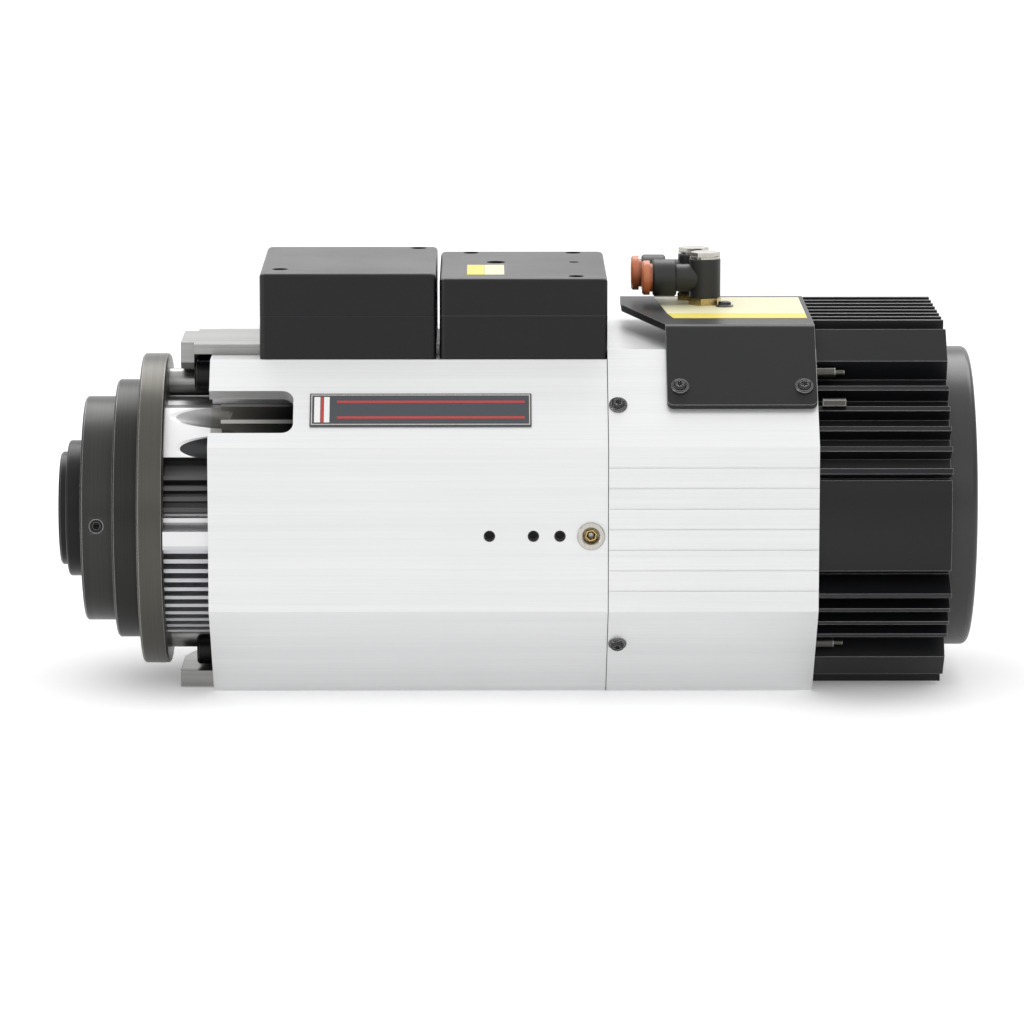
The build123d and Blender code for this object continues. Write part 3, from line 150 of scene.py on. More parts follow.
# %% Helpers for noise
def noise(tree, vector, scale, detail, roughness):
    node = add(tree, "ShaderNodeTexNoise", noise_dimensions="3D")
    tree.links.new(vector, node.inputs["Vector"])
    node.inputs["Scale"].default_value = scale
    node.inputs["Detail"].default_value = detail
    node.inputs["Roughness"].default_value = roughness
    return node.outputs["Fac"]


def spread(tree, value, low, high):
    """Spreads the middle of a noise over the whole range from 0 to 1."""
    node = add(tree, "ShaderNodeMapRange")
    tree.links.new(value, node.inputs["Value"])
    node.inputs["From Min"].default_value = low
    node.inputs["From Max"].default_value = high
    return node.outputs["Result"]


print("noise helpers: noise, spread")

# %% [markdown]
# ## Drawn lines
# An extruded body carries fine lines along its length, left by the die.  They could be
# modelled as grooves, but they are far too fine for that.  A noise that is squeezed along
# X to almost nothing turns into lines, and a second, coarser noise keeps them uneven.

# %% Build the drawn lines
ALONG_X = (0.006, 1.0, 1.0)
FINE_SHARE = 0.65


def make_drawn_lines():
    group, inputs, outputs = start_group("drawn_lines", [("Fineness", 900.0)])
    place = finer(group, stretch(group, inputs.outputs["Place"], ALONG_X), inputs)
    fine = maths(group, "MULTIPLY", noise(group, place, 1.0, 3.0, 0.65), FINE_SHARE)
    coarse = maths(group, "MULTIPLY", noise(group, place, 0.12, 2.0, 0.5), 1.0 - FINE_SHARE)
    both = maths(group, "ADD", fine, coarse)
    group.links.new(spread(group, both, 0.3, 0.7), outputs.inputs["Mask"])
    return group


effects["drawn_lines"] = make_drawn_lines()
print("drawn_lines:", len(effects["drawn_lines"].nodes), "nodes")

# %% [markdown]
# ## Turned rings
# A lathe tool leaves rings that follow the radius and the length.  Rings could be drawn
# with a wave texture, but that repeats too evenly.  Here the noise reads the radius and X,
# and hardly changes round the piece.

# %% Build the turned rings
ROUND_THE_PIECE = 6.0


def make_turned_rings():
    sliders = [("Fineness", 2600.0), ("Axis Height", 0.0)]
    group, inputs, outputs = start_group("turned_rings", sliders)
    fineness = inputs.outputs["Fineness"]
    parts = add(group, "ShaderNodeSeparateXYZ")
    group.links.new(inputs.outputs["Place"], parts.inputs[0])
    upright = maths(group, "SUBTRACT", parts.outputs["Z"], inputs.outputs["Axis Height"])
    sideways_square = maths(group, "POWER", parts.outputs["Y"], 2.0)
    upright_square = maths(group, "POWER", upright, 2.0)
    radius = maths(group, "SQRT", maths(group, "ADD", sideways_square, upright_square))
    joined = add(group, "ShaderNodeCombineXYZ")
    scales = (("X", parts.outputs["X"], fineness), ("Y", radius, fineness),
              ("Z", upright, ROUND_THE_PIECE))
    for axis, value, scale in scales:
        group.links.new(maths(group, "MULTIPLY", value, scale), joined.inputs[axis])
    rings = noise(group, joined.outputs[0], 1.0, 3.0, 0.6)
    group.links.new(spread(group, rings, 0.3, 0.7), outputs.inputs["Mask"])
    return group


effects["turned_rings"] = make_turned_rings()
print("turned_rings:", len(effects["turned_rings"].nodes), "nodes")

# %% [markdown]
# ## Fine grain
# Moulded plastic, powder coat and cast metal have a fine pebbled grain.  A plain noise
# looks like cloud, so rounded Voronoi cells make the pebbles and a noise thins them out.

# %% Build the fine grain
def make_fine_grain():
    group, inputs, outputs = start_group("fine_grain", [("Fineness", 2500.0)])
    place = finer(group, inputs.outputs["Place"], inputs)
    cells = add(group, "ShaderNodeTexVoronoi", feature="SMOOTH_F1")
    group.links.new(place, cells.inputs["Vector"])
    cells.inputs["Scale"].default_value = 1.0
    both = maths(group, "MULTIPLY", cells.outputs["Distance"], noise(group, place, 0.6, 3.0, 0.6))
    group.links.new(spread(group, both, 0.1, 0.5), outputs.inputs["Mask"])
    return group


effects["fine_grain"] = make_fine_grain()
print("fine_grain:", len(effects["fine_grain"].nodes), "nodes")

# %% [markdown]
# ## Smudges
# Hands, dust and oil leave large soft patches that are a little duller.  They could be
# painted by hand, but one slow noise does for every piece, whatever its shape.

# %% Build the smudges
def make_smudges():
    group, inputs, outputs = start_group("smudges", [("Fineness", 14.0)])
    large = noise(group, finer(group, inputs.outputs["Place"], inputs), 1.0, 4.0, 0.55)
    group.links.new(spread(group, large, 0.35, 0.7), outputs.inputs["Mask"])
    return group


effects["smudges"] = make_smudges()
print("smudges:", len(effects["smudges"].nodes), "nodes")

# %% [markdown]
# ## A band above a height
# One casting can be machined in one place and rough in another.  The mesh could be cut
# there, but a mask is lighter: it is 1 above a height and 0 below, with a soft edge.

# %% Build the band
def make_band():
    group, inputs, outputs = start_group("band", [("Edge", 0.0), ("Softness", 0.0004)])
    edge = inputs.outputs["Edge"]
    parts = add(group, "ShaderNodeSeparateXYZ")
    group.links.new(inputs.outputs["Place"], parts.inputs[0])
    ramp = add(group, "ShaderNodeMapRange", interpolation_type="SMOOTHSTEP")
    group.links.new(parts.outputs["Z"], ramp.inputs["Value"])
    group.links.new(edge, ramp.inputs["From Min"])
    far_edge = maths(group, "ADD", edge, inputs.outputs["Softness"])
    group.links.new(far_edge, ramp.inputs["From Max"])
    group.links.new(ramp.outputs["Result"], outputs.inputs["Mask"])
    return group


effects["band"] = make_band()
print("band:", len(effects["band"].nodes), "nodes")

# %% [markdown]
# ## Painted edge highlights
# Edges that catch the light show as thin bright lines, so this effect paints a highlight
# along them.  The edges could be given a second material, but a Bevel node finds them by
# itself: where a rounded edge would turn away from the flat face, the mask rises.

# %% Build the painted edge highlight
def make_painted_edge_highlight():
    group, inputs, outputs = start_group("painted_edge_highlight", [("Width", 0.0004), ("Gain", 10.0)])
    rounded = add(group, "ShaderNodeBevel", samples=6)
    group.links.new(inputs.outputs["Width"], rounded.inputs["Radius"])
    flat = add(group, "ShaderNodeNewGeometry")
    likeness = add(group, "ShaderNodeVectorMath", operation="DOT_PRODUCT")
    group.links.new(rounded.outputs["Normal"], likeness.inputs[0])
    group.links.new(flat.outputs["Normal"], likeness.inputs[1])
    turned_away = maths(group, "SUBTRACT", 1.0, likeness.outputs["Value"])
    stronger = maths(group, "MULTIPLY", turned_away, inputs.outputs["Gain"], clamp=True)
    group.links.new(stronger, outputs.inputs["Mask"])
    return group


effects["painted_edge_highlight"] = make_painted_edge_highlight()
print("effects:", ", ".join(effects))

# %% [markdown]
# ## One recipe for every finish
# A finish is a Principled BSDF whose colour, roughness and bump all vary a little.  Each
# could be wired by hand, but then no two would be built alike.  The recipe takes two
# colours and two roughnesses and lets one effect mix them.  The smudges then move the
# roughness once more, and the edges get a painted highlight colour of their own.  The
# bump is only hundredths of a millimetre deep, which is what a hand would feel.

# %% Helpers that place an effect and mix by its mask
def effect(tree, place, name, **sliders):
    """Places an effect in a material and sets its sliders; gives back its mask."""
    node = add(tree, "ShaderNodeGroup")
    node.node_tree = effects[name]
    tree.links.new(place, node.inputs["Place"])
    for slider, value in sliders.items():
        node.inputs[slider.replace("_", " ")].default_value = value
    return node.outputs["Mask"]


def between(tree, mask, low, high):
    """A number that runs from low to high as the mask runs from 0 to 1."""
    node = add(tree, "ShaderNodeMapRange")
    tree.links.new(mask, node.inputs["Value"])
    node.inputs["To Min"].default_value = low
    node.inputs["To Max"].default_value = high
    return node.outputs["Result"]


def mixed(tree, mask, first, second):
    """A colour between two colours; each is an RGB tuple or a socket."""
    node = add(tree, "ShaderNodeMix", data_type="RGBA")
    tree.links.new(mask, node.inputs["Factor"])
    for socket, colour in ((node.inputs[6], first), (node.inputs[7], second)):
        if isinstance(colour, tuple):
            socket.default_value = (*colour, 1.0)
        else:
            tree.links.new(colour, socket)
    return node.outputs[2]


print("mask helpers: effect, between, mixed")

# %% The finish recipe
DIRT_SHARE = 0.25
BUMP_STRENGTH = 0.5
finishes = {}


def make_finish(name, pattern, dark, light, rough, metallic=0.0, depth=0.02, smudge=0.06,
                gloss=0.5, coat=0.0, edge_highlight=None, **sliders):
    """pattern: main effect; dark, light: its colours; edge_highlight: painted edge highlight."""
    finish = bpy.data.materials.new(name)
    finish.use_nodes = True
    tree = finish.node_tree
    shader = tree.nodes["Principled BSDF"]
    place = add(tree, "ShaderNodeTexCoord").outputs["Object"]
    mask = effect(tree, place, pattern, **sliders)
    dirt = effect(tree, place, "smudges")
    clean = mixed(tree, mask, dark, light)
    colour = mixed(tree, maths(tree, "MULTIPLY", dirt, DIRT_SHARE), clean, dark)
    # Painted highlight: the edges take a lighter colour that stands in for the light they catch.
    if edge_highlight:
        colour = mixed(tree, effect(tree, place, "painted_edge_highlight"), colour, edge_highlight)
    tree.links.new(colour, shader.inputs["Base Color"])
    soiled = maths(tree, "MULTIPLY", dirt, smudge)
    roughness = maths(tree, "ADD", between(tree, mask, rough[0], rough[1]), soiled)
    tree.links.new(roughness, shader.inputs["Roughness"])
    shader.inputs["Metallic"].default_value = metallic
    shader.inputs["Specular IOR Level"].default_value = gloss
    shader.inputs["Coat Weight"].default_value = coat
    bump = add(tree, "ShaderNodeBump")
    bump.inputs["Strength"].default_value = BUMP_STRENGTH
    bump.inputs["Distance"].default_value = depth * MM
    tree.links.new(mask, bump.inputs["Height"])
    tree.links.new(bump.outputs["Normal"], shader.inputs["Normal"])
    finishes[name] = finish
    return finish


print("bump strength", BUMP_STRENGTH, "share of dirt", DIRT_SHARE)

# %% [markdown]
# ## Aluminium and ground steel
# The body is bright drawn aluminium, the castings are duller, and the rails are ground.
# A full metal would mirror the room and go dark where the room is dark.  The body is
# therefore only two thirds metal, which gives the soft white of a brushed extrusion.

# %% Make the drawn finishes
make_finish("bright_extrusion", "drawn_lines", (0.66, 0.665, 0.67), (0.735, 0.737, 0.74),
            (0.36, 0.3), metallic=0.65, depth=0.006, smudge=0.05, Fineness=1100.0)
make_finish("cast_aluminium", "drawn_lines", (0.3, 0.3, 0.305), (0.62, 0.62, 0.62),
            (0.42, 0.32), metallic=0.9, depth=0.03, Fineness=500.0)
make_finish("ground_rail", "drawn_lines", (0.25, 0.25, 0.24), (0.36, 0.36, 0.35),
            (0.34, 0.24), metallic=1.0, depth=0.01, Fineness=1500.0)
make_finish("lamination", "drawn_lines", (0.1, 0.1, 0.11), (0.22, 0.22, 0.23),
            (0.55, 0.45), metallic=0.8, depth=0.03)
print("finishes:", ", ".join(finishes))

# %% [markdown]
# ## Blackened and gunmetal steel
# The rings of the nose are turned steel, blackened to different depths, with a warmer
# flange.  One dark grey could serve for all, but the small steps between them are what
# tells the rings apart.  Their edges carry a painted highlight.

# %% Make the dark turned finishes
make_finish("black_steel", "turned_rings", (0.008, 0.008, 0.0085), (0.014, 0.014, 0.0145),
            (0.36, 0.3), metallic=0.4, depth=0.002, gloss=0.3, edge_highlight=(0.22, 0.22, 0.22))
make_finish("screw_black", "turned_rings", (0.018, 0.018, 0.018), (0.032, 0.032, 0.032),
            (0.22, 0.16), metallic=0.7, depth=0.002, gloss=0.6, edge_highlight=(0.5, 0.5, 0.49))
make_finish("gunmetal", "turned_rings", (0.031, 0.032, 0.03), (0.042, 0.043, 0.04),
            (0.36, 0.3), metallic=0.75, depth=0.002, edge_highlight=(0.6, 0.6, 0.59))
make_finish("dark_gunmetal", "turned_rings", (0.02, 0.021, 0.019), (0.029, 0.03, 0.028),
            (0.36, 0.3), metallic=0.75, depth=0.002, edge_highlight=(0.6, 0.6, 0.59))
make_finish("warm_steel", "turned_rings", (0.068, 0.065, 0.057), (0.09, 0.086, 0.076),
            (0.36, 0.28), metallic=0.9, depth=0.002, edge_highlight=(0.7, 0.69, 0.67))
print("finishes:", len(finishes))

# %% [markdown]
# ## Bright turned metal
# Bearings, clamp, caps, stems and windings are bare or plated metal.  They share the
# rings of the lathe and differ in colour and polish, which is how such parts differ on
# the bench.

# %% Make the bright turned finishes
make_finish("polished_steel", "turned_rings", (0.5, 0.5, 0.51), (0.68, 0.68, 0.69),
            (0.22, 0.14), metallic=1.0, depth=0.004)
make_finish("bare_steel", "turned_rings", (0.28, 0.28, 0.27), (0.45, 0.45, 0.44),
            (0.36, 0.26), metallic=1.0, depth=0.01)
make_finish("nickel", "turned_rings", (0.4, 0.385, 0.35), (0.56, 0.545, 0.5),
            (0.24, 0.16), metallic=1.0, depth=0.006)
make_finish("brass", "turned_rings", (0.42, 0.31, 0.13), (0.62, 0.49, 0.25),
            (0.28, 0.2), metallic=1.0, depth=0.006)
make_finish("copper_winding", "turned_rings", (0.3, 0.1, 0.03), (0.62, 0.26, 0.1),
            (0.4, 0.3), metallic=0.9, depth=0.15, Fineness=900.0)
print("finishes:", len(finishes))

# %% [markdown]
# ## Coats and plastics
# Cowl, guard and bracket are coated black, the boxes are moulded, and the fittings and
# the fan are plain plastic.  Black has to stay well above zero and keep its gloss low, or
# the piece turns into a hole, or into a grey mirror of the room.

# %% Make the coated finishes
make_finish("black_coat", "fine_grain", (0.0046, 0.0049, 0.0058), (0.0076, 0.008, 0.0094),
            (0.34, 0.28), depth=0.008, gloss=0.28, edge_highlight=(0.3, 0.3, 0.31), Fineness=2600.0)
make_finish("guard_coat", "fine_grain", (0.012, 0.0124, 0.0136), (0.019, 0.0196, 0.0212),
            (0.32, 0.26), depth=0.008, gloss=0.5, edge_highlight=(0.2, 0.2, 0.205), Fineness=2600.0)
make_finish("bracket_coat", "fine_grain", (0.005, 0.0053, 0.0062), (0.009, 0.0094, 0.0108),
            (0.38, 0.3), depth=0.008, gloss=0.28, edge_highlight=(0.3, 0.3, 0.31), Fineness=3000.0)
print("finishes:", len(finishes))

# %% Make the plastics and the rubber
make_finish("box_plastic", "fine_grain", (0.004, 0.0042, 0.0052), (0.007, 0.0074, 0.009),
            (0.32, 0.26), depth=0.006, gloss=0.28, edge_highlight=(0.045, 0.046, 0.05), Fineness=3400.0)
make_finish("fitting_plastic", "fine_grain", (0.012, 0.012, 0.012), (0.02, 0.02, 0.019),
            (0.4, 0.32), depth=0.006, gloss=0.45, Fineness=4000.0)
make_finish("gland_plastic", "fine_grain", (0.012, 0.012, 0.013), (0.024, 0.024, 0.026),
            (0.45, 0.38), depth=0.008, Fineness=4000.0)
make_finish("fan_plastic", "fine_grain", (0.014, 0.014, 0.016), (0.03, 0.03, 0.033),
            (0.5, 0.4), depth=0.01, Fineness=3000.0)
make_finish("ring_orange", "fine_grain", (0.5, 0.13, 0.045), (0.68, 0.24, 0.1),
            (0.36, 0.28), depth=0.004, coat=0.15, Fineness=4000.0)
make_finish("seal_rubber", "fine_grain", (0.01, 0.01, 0.01), (0.02, 0.02, 0.02),
            (0.6, 0.5), depth=0.01)
make_finish("terminal_cream", "fine_grain", (0.5, 0.46, 0.36), (0.62, 0.58, 0.48),
            (0.45, 0.38), depth=0.01)
make_finish("board_green", "fine_grain", (0.01, 0.09, 0.04), (0.02, 0.15, 0.07),
            (0.3, 0.24), depth=0.004, coat=0.2)
print("finishes:", len(finishes))

# %% [markdown]
# ## Enamel and paper
# The name plate is slate enamel with white and red fields, and the labels are cream and
# yellow.  An image could hold the whole plate, but each field is a thin piece of its own
# here, so each colour needs only a plain finish.

# %% Make the plate and label finishes
make_finish("plate_slate", "fine_grain", (0.03, 0.036, 0.044), (0.045, 0.054, 0.064),
            (0.32, 0.26), depth=0.004, coat=0.1, Fineness=3000.0)
make_finish("plate_white", "fine_grain", (0.76, 0.76, 0.75), (0.86, 0.86, 0.85),
            (0.4, 0.34), depth=0.003, Fineness=3000.0)
make_finish("plate_red", "fine_grain", (0.42, 0.03, 0.025), (0.55, 0.05, 0.04),
            (0.4, 0.34), depth=0.003, Fineness=3000.0)
make_finish("label_cream", "fine_grain", (0.82, 0.78, 0.5), (0.9, 0.87, 0.6),
            (0.45, 0.38), depth=0.002, Fineness=2000.0)
make_finish("label_yellow", "fine_grain", (0.82, 0.68, 0.06), (0.92, 0.78, 0.1),
            (0.42, 0.36), depth=0.002, Fineness=2000.0)
print("finishes:", len(finishes))

# %% [markdown]
# ## The jacket, bright in some places and dark in others
# The finned motor jacket is one casting.  Its upper land and side rib are machined bright,
# the fins are as cast, the pockets carry painted shade, and painted shade deepens inside
# the housing.  It could be cut into pieces with a finish each.  Masks made from the place
# on the piece do the same and leave the mesh whole.

# %% Make the masks of the jacket
MACHINED_LAND = 0.0285
UPPER_POCKET = 0.0405
SIDE_RIB_LOW = -0.0055
SIDE_RIB_HIGH = 0.0055
LAND_RADIUS = 0.0614
HOUSING_MOUTH = 0.0676
MOUTH_SOFTNESS = 0.001
# Painted shade inside the housing starts just past its mouth and deepens from there.
SHADE_FROM = HOUSING_MOUTH + 0.004
SHADE_SOFTNESS = 0.04

jacket = make_finish("jacket_aluminium", "drawn_lines", (0.42, 0.425, 0.445),
                     (0.66, 0.665, 0.69), (0.42, 0.32), metallic=0.9, depth=0.03, Fineness=500.0)
tree = jacket.node_tree
place = add(tree, "ShaderNodeTexCoord").outputs["Object"]
turned_place = add(tree, "ShaderNodeMapping")
turned_place.inputs["Rotation"].default_value = (0.0, math.radians(-90.0), 0.0)
tree.links.new(place, turned_place.inputs["Vector"])
back = turned_place.outputs[0]
radius = add(tree, "ShaderNodeVectorMath", operation="LENGTH")
tree.links.new(stretch(tree, place, (0.0, 1.0, 1.0)), radius.inputs[0])

outermost = maths(tree, "GREATER_THAN", radius.outputs["Value"], LAND_RADIUS)
on_land = effect(tree, place, "band", Edge=MACHINED_LAND)
above_rib = effect(tree, place, "band", Edge=SIDE_RIB_HIGH)
from_rib = effect(tree, place, "band", Edge=SIDE_RIB_LOW)
shaded_mouth = effect(tree, back, "band", Edge=HOUSING_MOUTH, Softness=MOUTH_SOFTNESS)
painted_shade_inside = effect(tree, back, "band", Edge=SHADE_FROM, Softness=SHADE_SOFTNESS)
in_upper_pocket = effect(tree, place, "band", Edge=UPPER_POCKET)
on_rib = maths(tree, "MULTIPLY", from_rib, maths(tree, "SUBTRACT", 1.0, above_rib))
print("machined land above", MACHINED_LAND / MM, "mm")

# %% Colour the jacket by its masks
shader = tree.nodes["Principled BSDF"]
as_cast = shader.inputs["Base Color"].links[0].from_socket
upper_fins = mixed(tree, outermost, (0.11, 0.11, 0.115), (0.085, 0.085, 0.087))
colour = mixed(tree, above_rib, as_cast, upper_fins)
# Painted shade in the pockets: near black below UPPER_POCKET, grey above it.
pocket_shade = mixed(tree, in_upper_pocket, (0.05, 0.051, 0.053), (0.4, 0.4, 0.4))
land = mixed(tree, outermost, pocket_shade, (0.74, 0.74, 0.74))
colour = mixed(tree, on_land, colour, land)
colour = mixed(tree, on_rib, colour, (0.7, 0.7, 0.71))
# Painted shade inside the housing: grey at its mouth, near black deeper in.
colour = mixed(tree, shaded_mouth, colour, (0.34, 0.33, 0.31))
colour = mixed(tree, painted_shade_inside, colour, (0.04, 0.04, 0.042))
tree.links.new(colour, shader.inputs["Base Color"])
print("jacket material:", len(tree.nodes), "nodes")

# %% [markdown]
# ## Who wears what
# Each CAD node is one kind of part and has one finish.  Slots could be filled in the
# editor, piece by piece.  A table shows at a glance that no piece was forgotten.

# %% Say which finish each CAD node has
wearing = {
    "bright_extrusion": "front_housing rear_housing",
    "jacket_aluminium": "motor_jacket",
    "cast_aluminium": "rear_bearing_carrier release_cylinder cylinder_cover",
    "ground_rail": "top_rail base_rail spacer_columns",
    "black_steel": "labyrinth_ring shaft_locknut housing_bolts nose_screws set_screws "
                   "pan_screws lid_screws shaft",
    "gunmetal": "nose_cover",
    "dark_gunmetal": "bearing_retainer",
    "warm_steel": "front_flange cowl_posts",
    "polished_steel": "bearing_inner_rings bearing_outer_rings front_ball_set rear_ball_set",
    "bare_steel": "drawbar gripper_finger_1 gripper_finger_2 gripper_finger_3 "
                  "gripper_finger_4 disc_springs bracket_spacers release_piston",
    "nickel": "fitting_caps air_port",
    "brass": "fitting_stems",
    "lamination": "rotor_core stator_core",
    "copper_winding": "stator_windings",
    "black_coat": "fan_cowl",
    "guard_coat": "fan_guard",
    "bracket_coat": "fitting_bracket",
    "box_plastic": "power_box_base power_box_lid signal_box_base signal_box_lid",
    "fitting_plastic": "elbow_near elbow_far",
    "gland_plastic": "cable_glands",
    "fan_plastic": "fan_impeller fan_motor",
    "ring_orange": "release_ring_near release_ring_far",
    "seal_rubber": "piston_seal",
    "terminal_cream": "terminal_block",
    "board_green": "signal_board",
    "plate_slate": "name_plate",
}
dressed = set()
for finish, names in wearing.items():
    for name in names.split():
        nodes[name].data.materials.clear()
        nodes[name].data.materials.append(finishes[finish])
        dressed.add(name)
print("nodes without a finish:", sorted(set(nodes) - dressed))

# %% [markdown]
# ## Broken edges
# No machined or moulded edge is perfectly sharp.  A narrow bevel catches the light as a
# thin bright line, and that line is what makes a black box readable.  It could be cut
# into the mesh, but a modifier can be tuned.  The CAD meshes are loose triangles, so a
# Weld comes first, then a Bevel that only takes sharp edges, and weighted normals keep
# the large faces flat.

# %% Put a narrow bevel on the edges that show
WELD = 0.002 * MM
SHARP_ANGLE = 40.0
FLATNESS = 80
EDGE_WIDTHS = {
    "power_box_base power_box_lid signal_box_base signal_box_lid": 0.5,
    "fitting_bracket front_housing rear_housing top_rail base_rail": 0.25,
    "fan_cowl name_plate": 0.25,
    "labyrinth_ring nose_cover bearing_retainer front_flange": 0.35,
}


def break_edges(piece, width):
    weld = piece.modifiers.new("join_triangles", "WELD")
    weld.merge_threshold = WELD
    bevel = piece.modifiers.new("broken_edges", "BEVEL")
    bevel.width = width * MM
    bevel.segments = 2
    bevel.limit_method = "ANGLE"
    bevel.angle_limit = math.radians(SHARP_ANGLE)
    bevel.use_clamp_overlap = True
    shading = piece.modifiers.new("flat_faces_stay_flat", "WEIGHTED_NORMAL")
    shading.weight = FLATNESS
    shading.keep_sharp = False


for names, width in EDGE_WIDTHS.items():
    for name in names.split():
        break_edges(nodes[name], width)
    print("edges broken by", width, "mm:", names)

# %% [markdown]
# ## Small pieces
# The next cells add what the CAD leaves plain: the screws with their star recess, the
# threaded inserts, the air port, the inlay of the name plate, the labels, the joint line,
# a lug and the grips of the glands.  They share four helpers.  One gives the place of a
# shape on a surface, one spins a profile as a lathe would, one makes a block, and one
# turns the mesh into a finished object.

# %% Helpers that shape a small piece
MERGE = 0.0005 * MM


def seat(point, normal, turn=0.0):
    """The place of a piece that stands on a point, in mm, with its Z along the normal."""
    facing = Vector(normal).to_track_quat("Z", "Y").to_matrix().to_4x4()
    turned_round = Matrix.Rotation(math.radians(turn), 4, "Z")
    return Matrix.Translation(Vector(point) * MM) @ facing @ turned_round


def turned(shape, profile, sides=36, closed=False):
    """Spins (radius, height) pairs in mm round Z; gives back the new vertices."""
    before = set(shape.verts)
    line = [shape.verts.new((radius * MM, 0.0, height * MM)) for radius, height in profile]
    pairs = list(zip(line, line[1:] + line[:1] if closed else line[1:]))
    edges = [shape.edges.new(pair) for pair in pairs]
    bmesh.ops.spin(shape, geom=line + edges, cent=(0, 0, 0), axis=(0, 0, 1),
                   angle=2 * math.pi, steps=sides, use_merge=True)
    bmesh.ops.remove_doubles(shape, verts=shape.verts, dist=MERGE)
    return [vertex for vertex in shape.verts if vertex not in before]


def block(shape, size, place, centre=(0.0, 0.0, 0.0), edge=0.0):
    """A block of a size in mm round a centre, with its edges broken, moved to its place."""
    made = bmesh.ops.create_cube(shape, size=MM)["verts"]
    bmesh.ops.scale(shape, vec=size, verts=made)
    bmesh.ops.translate(shape, vec=Vector(centre) * MM, verts=made)
    if edge:
        edges = list({e for vertex in made for e in vertex.link_edges})
        cut = bmesh.ops.bevel(shape, geom=edges, offset=edge * MM, segments=1, profile=0.5,
                              affect="EDGES", material=-1)
        made = cut["verts"]
    bmesh.ops.transform(shape, matrix=place, verts=made)


print("a seat turned to the side:", seat((0, 0, 0), (0, -1, 0)).to_euler())

# %% Helper that finishes a small piece
SMOOTH_BELOW = 32.0


def settle(name, shape, finish, replaces=None):
    """Turns the faces outwards, makes the object and lets it ride on the body."""
    bmesh.ops.recalc_face_normals(shape, faces=shape.faces)
    data = bpy.data.meshes.new(name)
    shape.to_mesh(data)
    shape.free()
    data.polygons.foreach_set("use_smooth", [True] * len(data.polygons))
    data.set_sharp_from_angle(angle=math.radians(SMOOTH_BELOW))
    data.materials.append(finishes[finish])
    piece = bpy.data.objects.new(name, data)
    bpy.context.scene.collection.objects.link(piece)
    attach(piece, "spindle_body")
    if replaces:
        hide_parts(replaces)
    print(name, len(data.polygons), "faces")


print("edges sharper than", SMOOTH_BELOW, "degrees stay sharp")

# %% [markdown]
# ## Screws with a star recess
# Five flanged screws hold the rear housing and the bracket.  A boolean could cut the star,
# but it leaves ragged faces on so small a head.  Instead a spun profile gives the flange,
# the round head and a round recess with a flat floor.  The recess is then pushed in and
# out six times round, which makes the star that the driver fits.

# %% Make the star screws
SHANK_RADIUS = 2.0
RECESS_RADIUS = 1.42
STAR_POINTS = 6
STAR_DEPTH = 0.2
NEAR = 0.01
SCREW_PROFILE = [(0.0, -8.0), (SHANK_RADIUS, -8.0), (SHANK_RADIUS, 0.0), (3.85, 0.0),
                 (4.0, 0.2), (3.95, 0.6), (3.7, 0.85), (3.05, 0.95), (2.95, 1.1),
                 (2.9, 1.8), (2.7, 2.15), (2.3, 2.38), (1.7, 2.4),
                 (RECESS_RADIUS, 2.2), (RECESS_RADIUS, 0.9), (0.0, 0.7)]
SCREW_SEATS = [((271.2, -57.5, 62.24), (0, -1, 1), 10.0),
               ((324.8, -57.5, 62.24), (0, -1, 1), 35.0),
               ((244.5, -60.8, 54.7), (0, -1, 1), 22.0),
               ((244.5, -59.5, -50.1), (0, -1, -1), 5.0),
               ((293.9, 27.6, 86.0), (0, 0, 1), 48.0)]
shape = bmesh.new()
for point, normal, turn in SCREW_SEATS:
    made = turned(shape, SCREW_PROFILE)
    for vertex in made:
        if abs(vertex.co.xy.length / MM - RECESS_RADIUS) < NEAR:
            angle = math.atan2(vertex.co.y, vertex.co.x)
            vertex.co.xy *= 1.0 + STAR_DEPTH * math.cos(STAR_POINTS * angle)
    bmesh.ops.transform(shape, matrix=seat(point, normal, turn), verts=made)
settle("star_screws", shape, "screw_black", replaces="pan_screws")

# %% [markdown]
# ## Threaded inserts
# Three blind holes in the side are threaded.  A true thread is a helix, which costs many
# faces.  At this size a zigzag in a spun profile can't be told from it.  The threads are
# bare metal; their dark finish is painted shade for the depth of the holes.

# %% Make the threaded inserts
SIDE_Y = -76.0
INSERT_STATIONS = (189.0, 207.9, 219.3)
INSERT_DEPTH = 5.5
INSERT_RADIUS = 2.47
CREST_RADIUS = 1.95
ROOT_RADIUS = 2.22
THREAD_PITCH = 0.7
THREAD_START = 0.3
PLAIN_END = 1.2
turns = math.ceil((INSERT_DEPTH - PLAIN_END - THREAD_START) / THREAD_PITCH)
insert_profile = [(0.0, -INSERT_DEPTH), (INSERT_RADIUS, -INSERT_DEPTH), (INSERT_RADIUS, -0.05)]
depth = THREAD_START
for _ in range(turns):
    insert_profile += [(ROOT_RADIUS, -depth), (CREST_RADIUS, -depth - THREAD_PITCH / 2)]
    depth += THREAD_PITCH
insert_profile += [(2.1, -INSERT_DEPTH + 0.7), (0.0, -INSERT_DEPTH + 0.3)]
shape = bmesh.new()
for station in INSERT_STATIONS:
    made = turned(shape, insert_profile, sides=32)
    bmesh.ops.transform(shape, matrix=seat((station, SIDE_Y, 0.0), (0, -1, 0)), verts=made)
# The dark finish of the threads is painted shade for the depth of the holes.
settle("thread_inserts", shape, "black_steel")

# %% [markdown]
# ## The air port
# The air port is a bright collar with a brass valve set deep in it.  Both are spun.  The
# collar takes 64 steps and reads as round, and the valve takes only six, so that it comes
# out as a hexagon for the spanner.

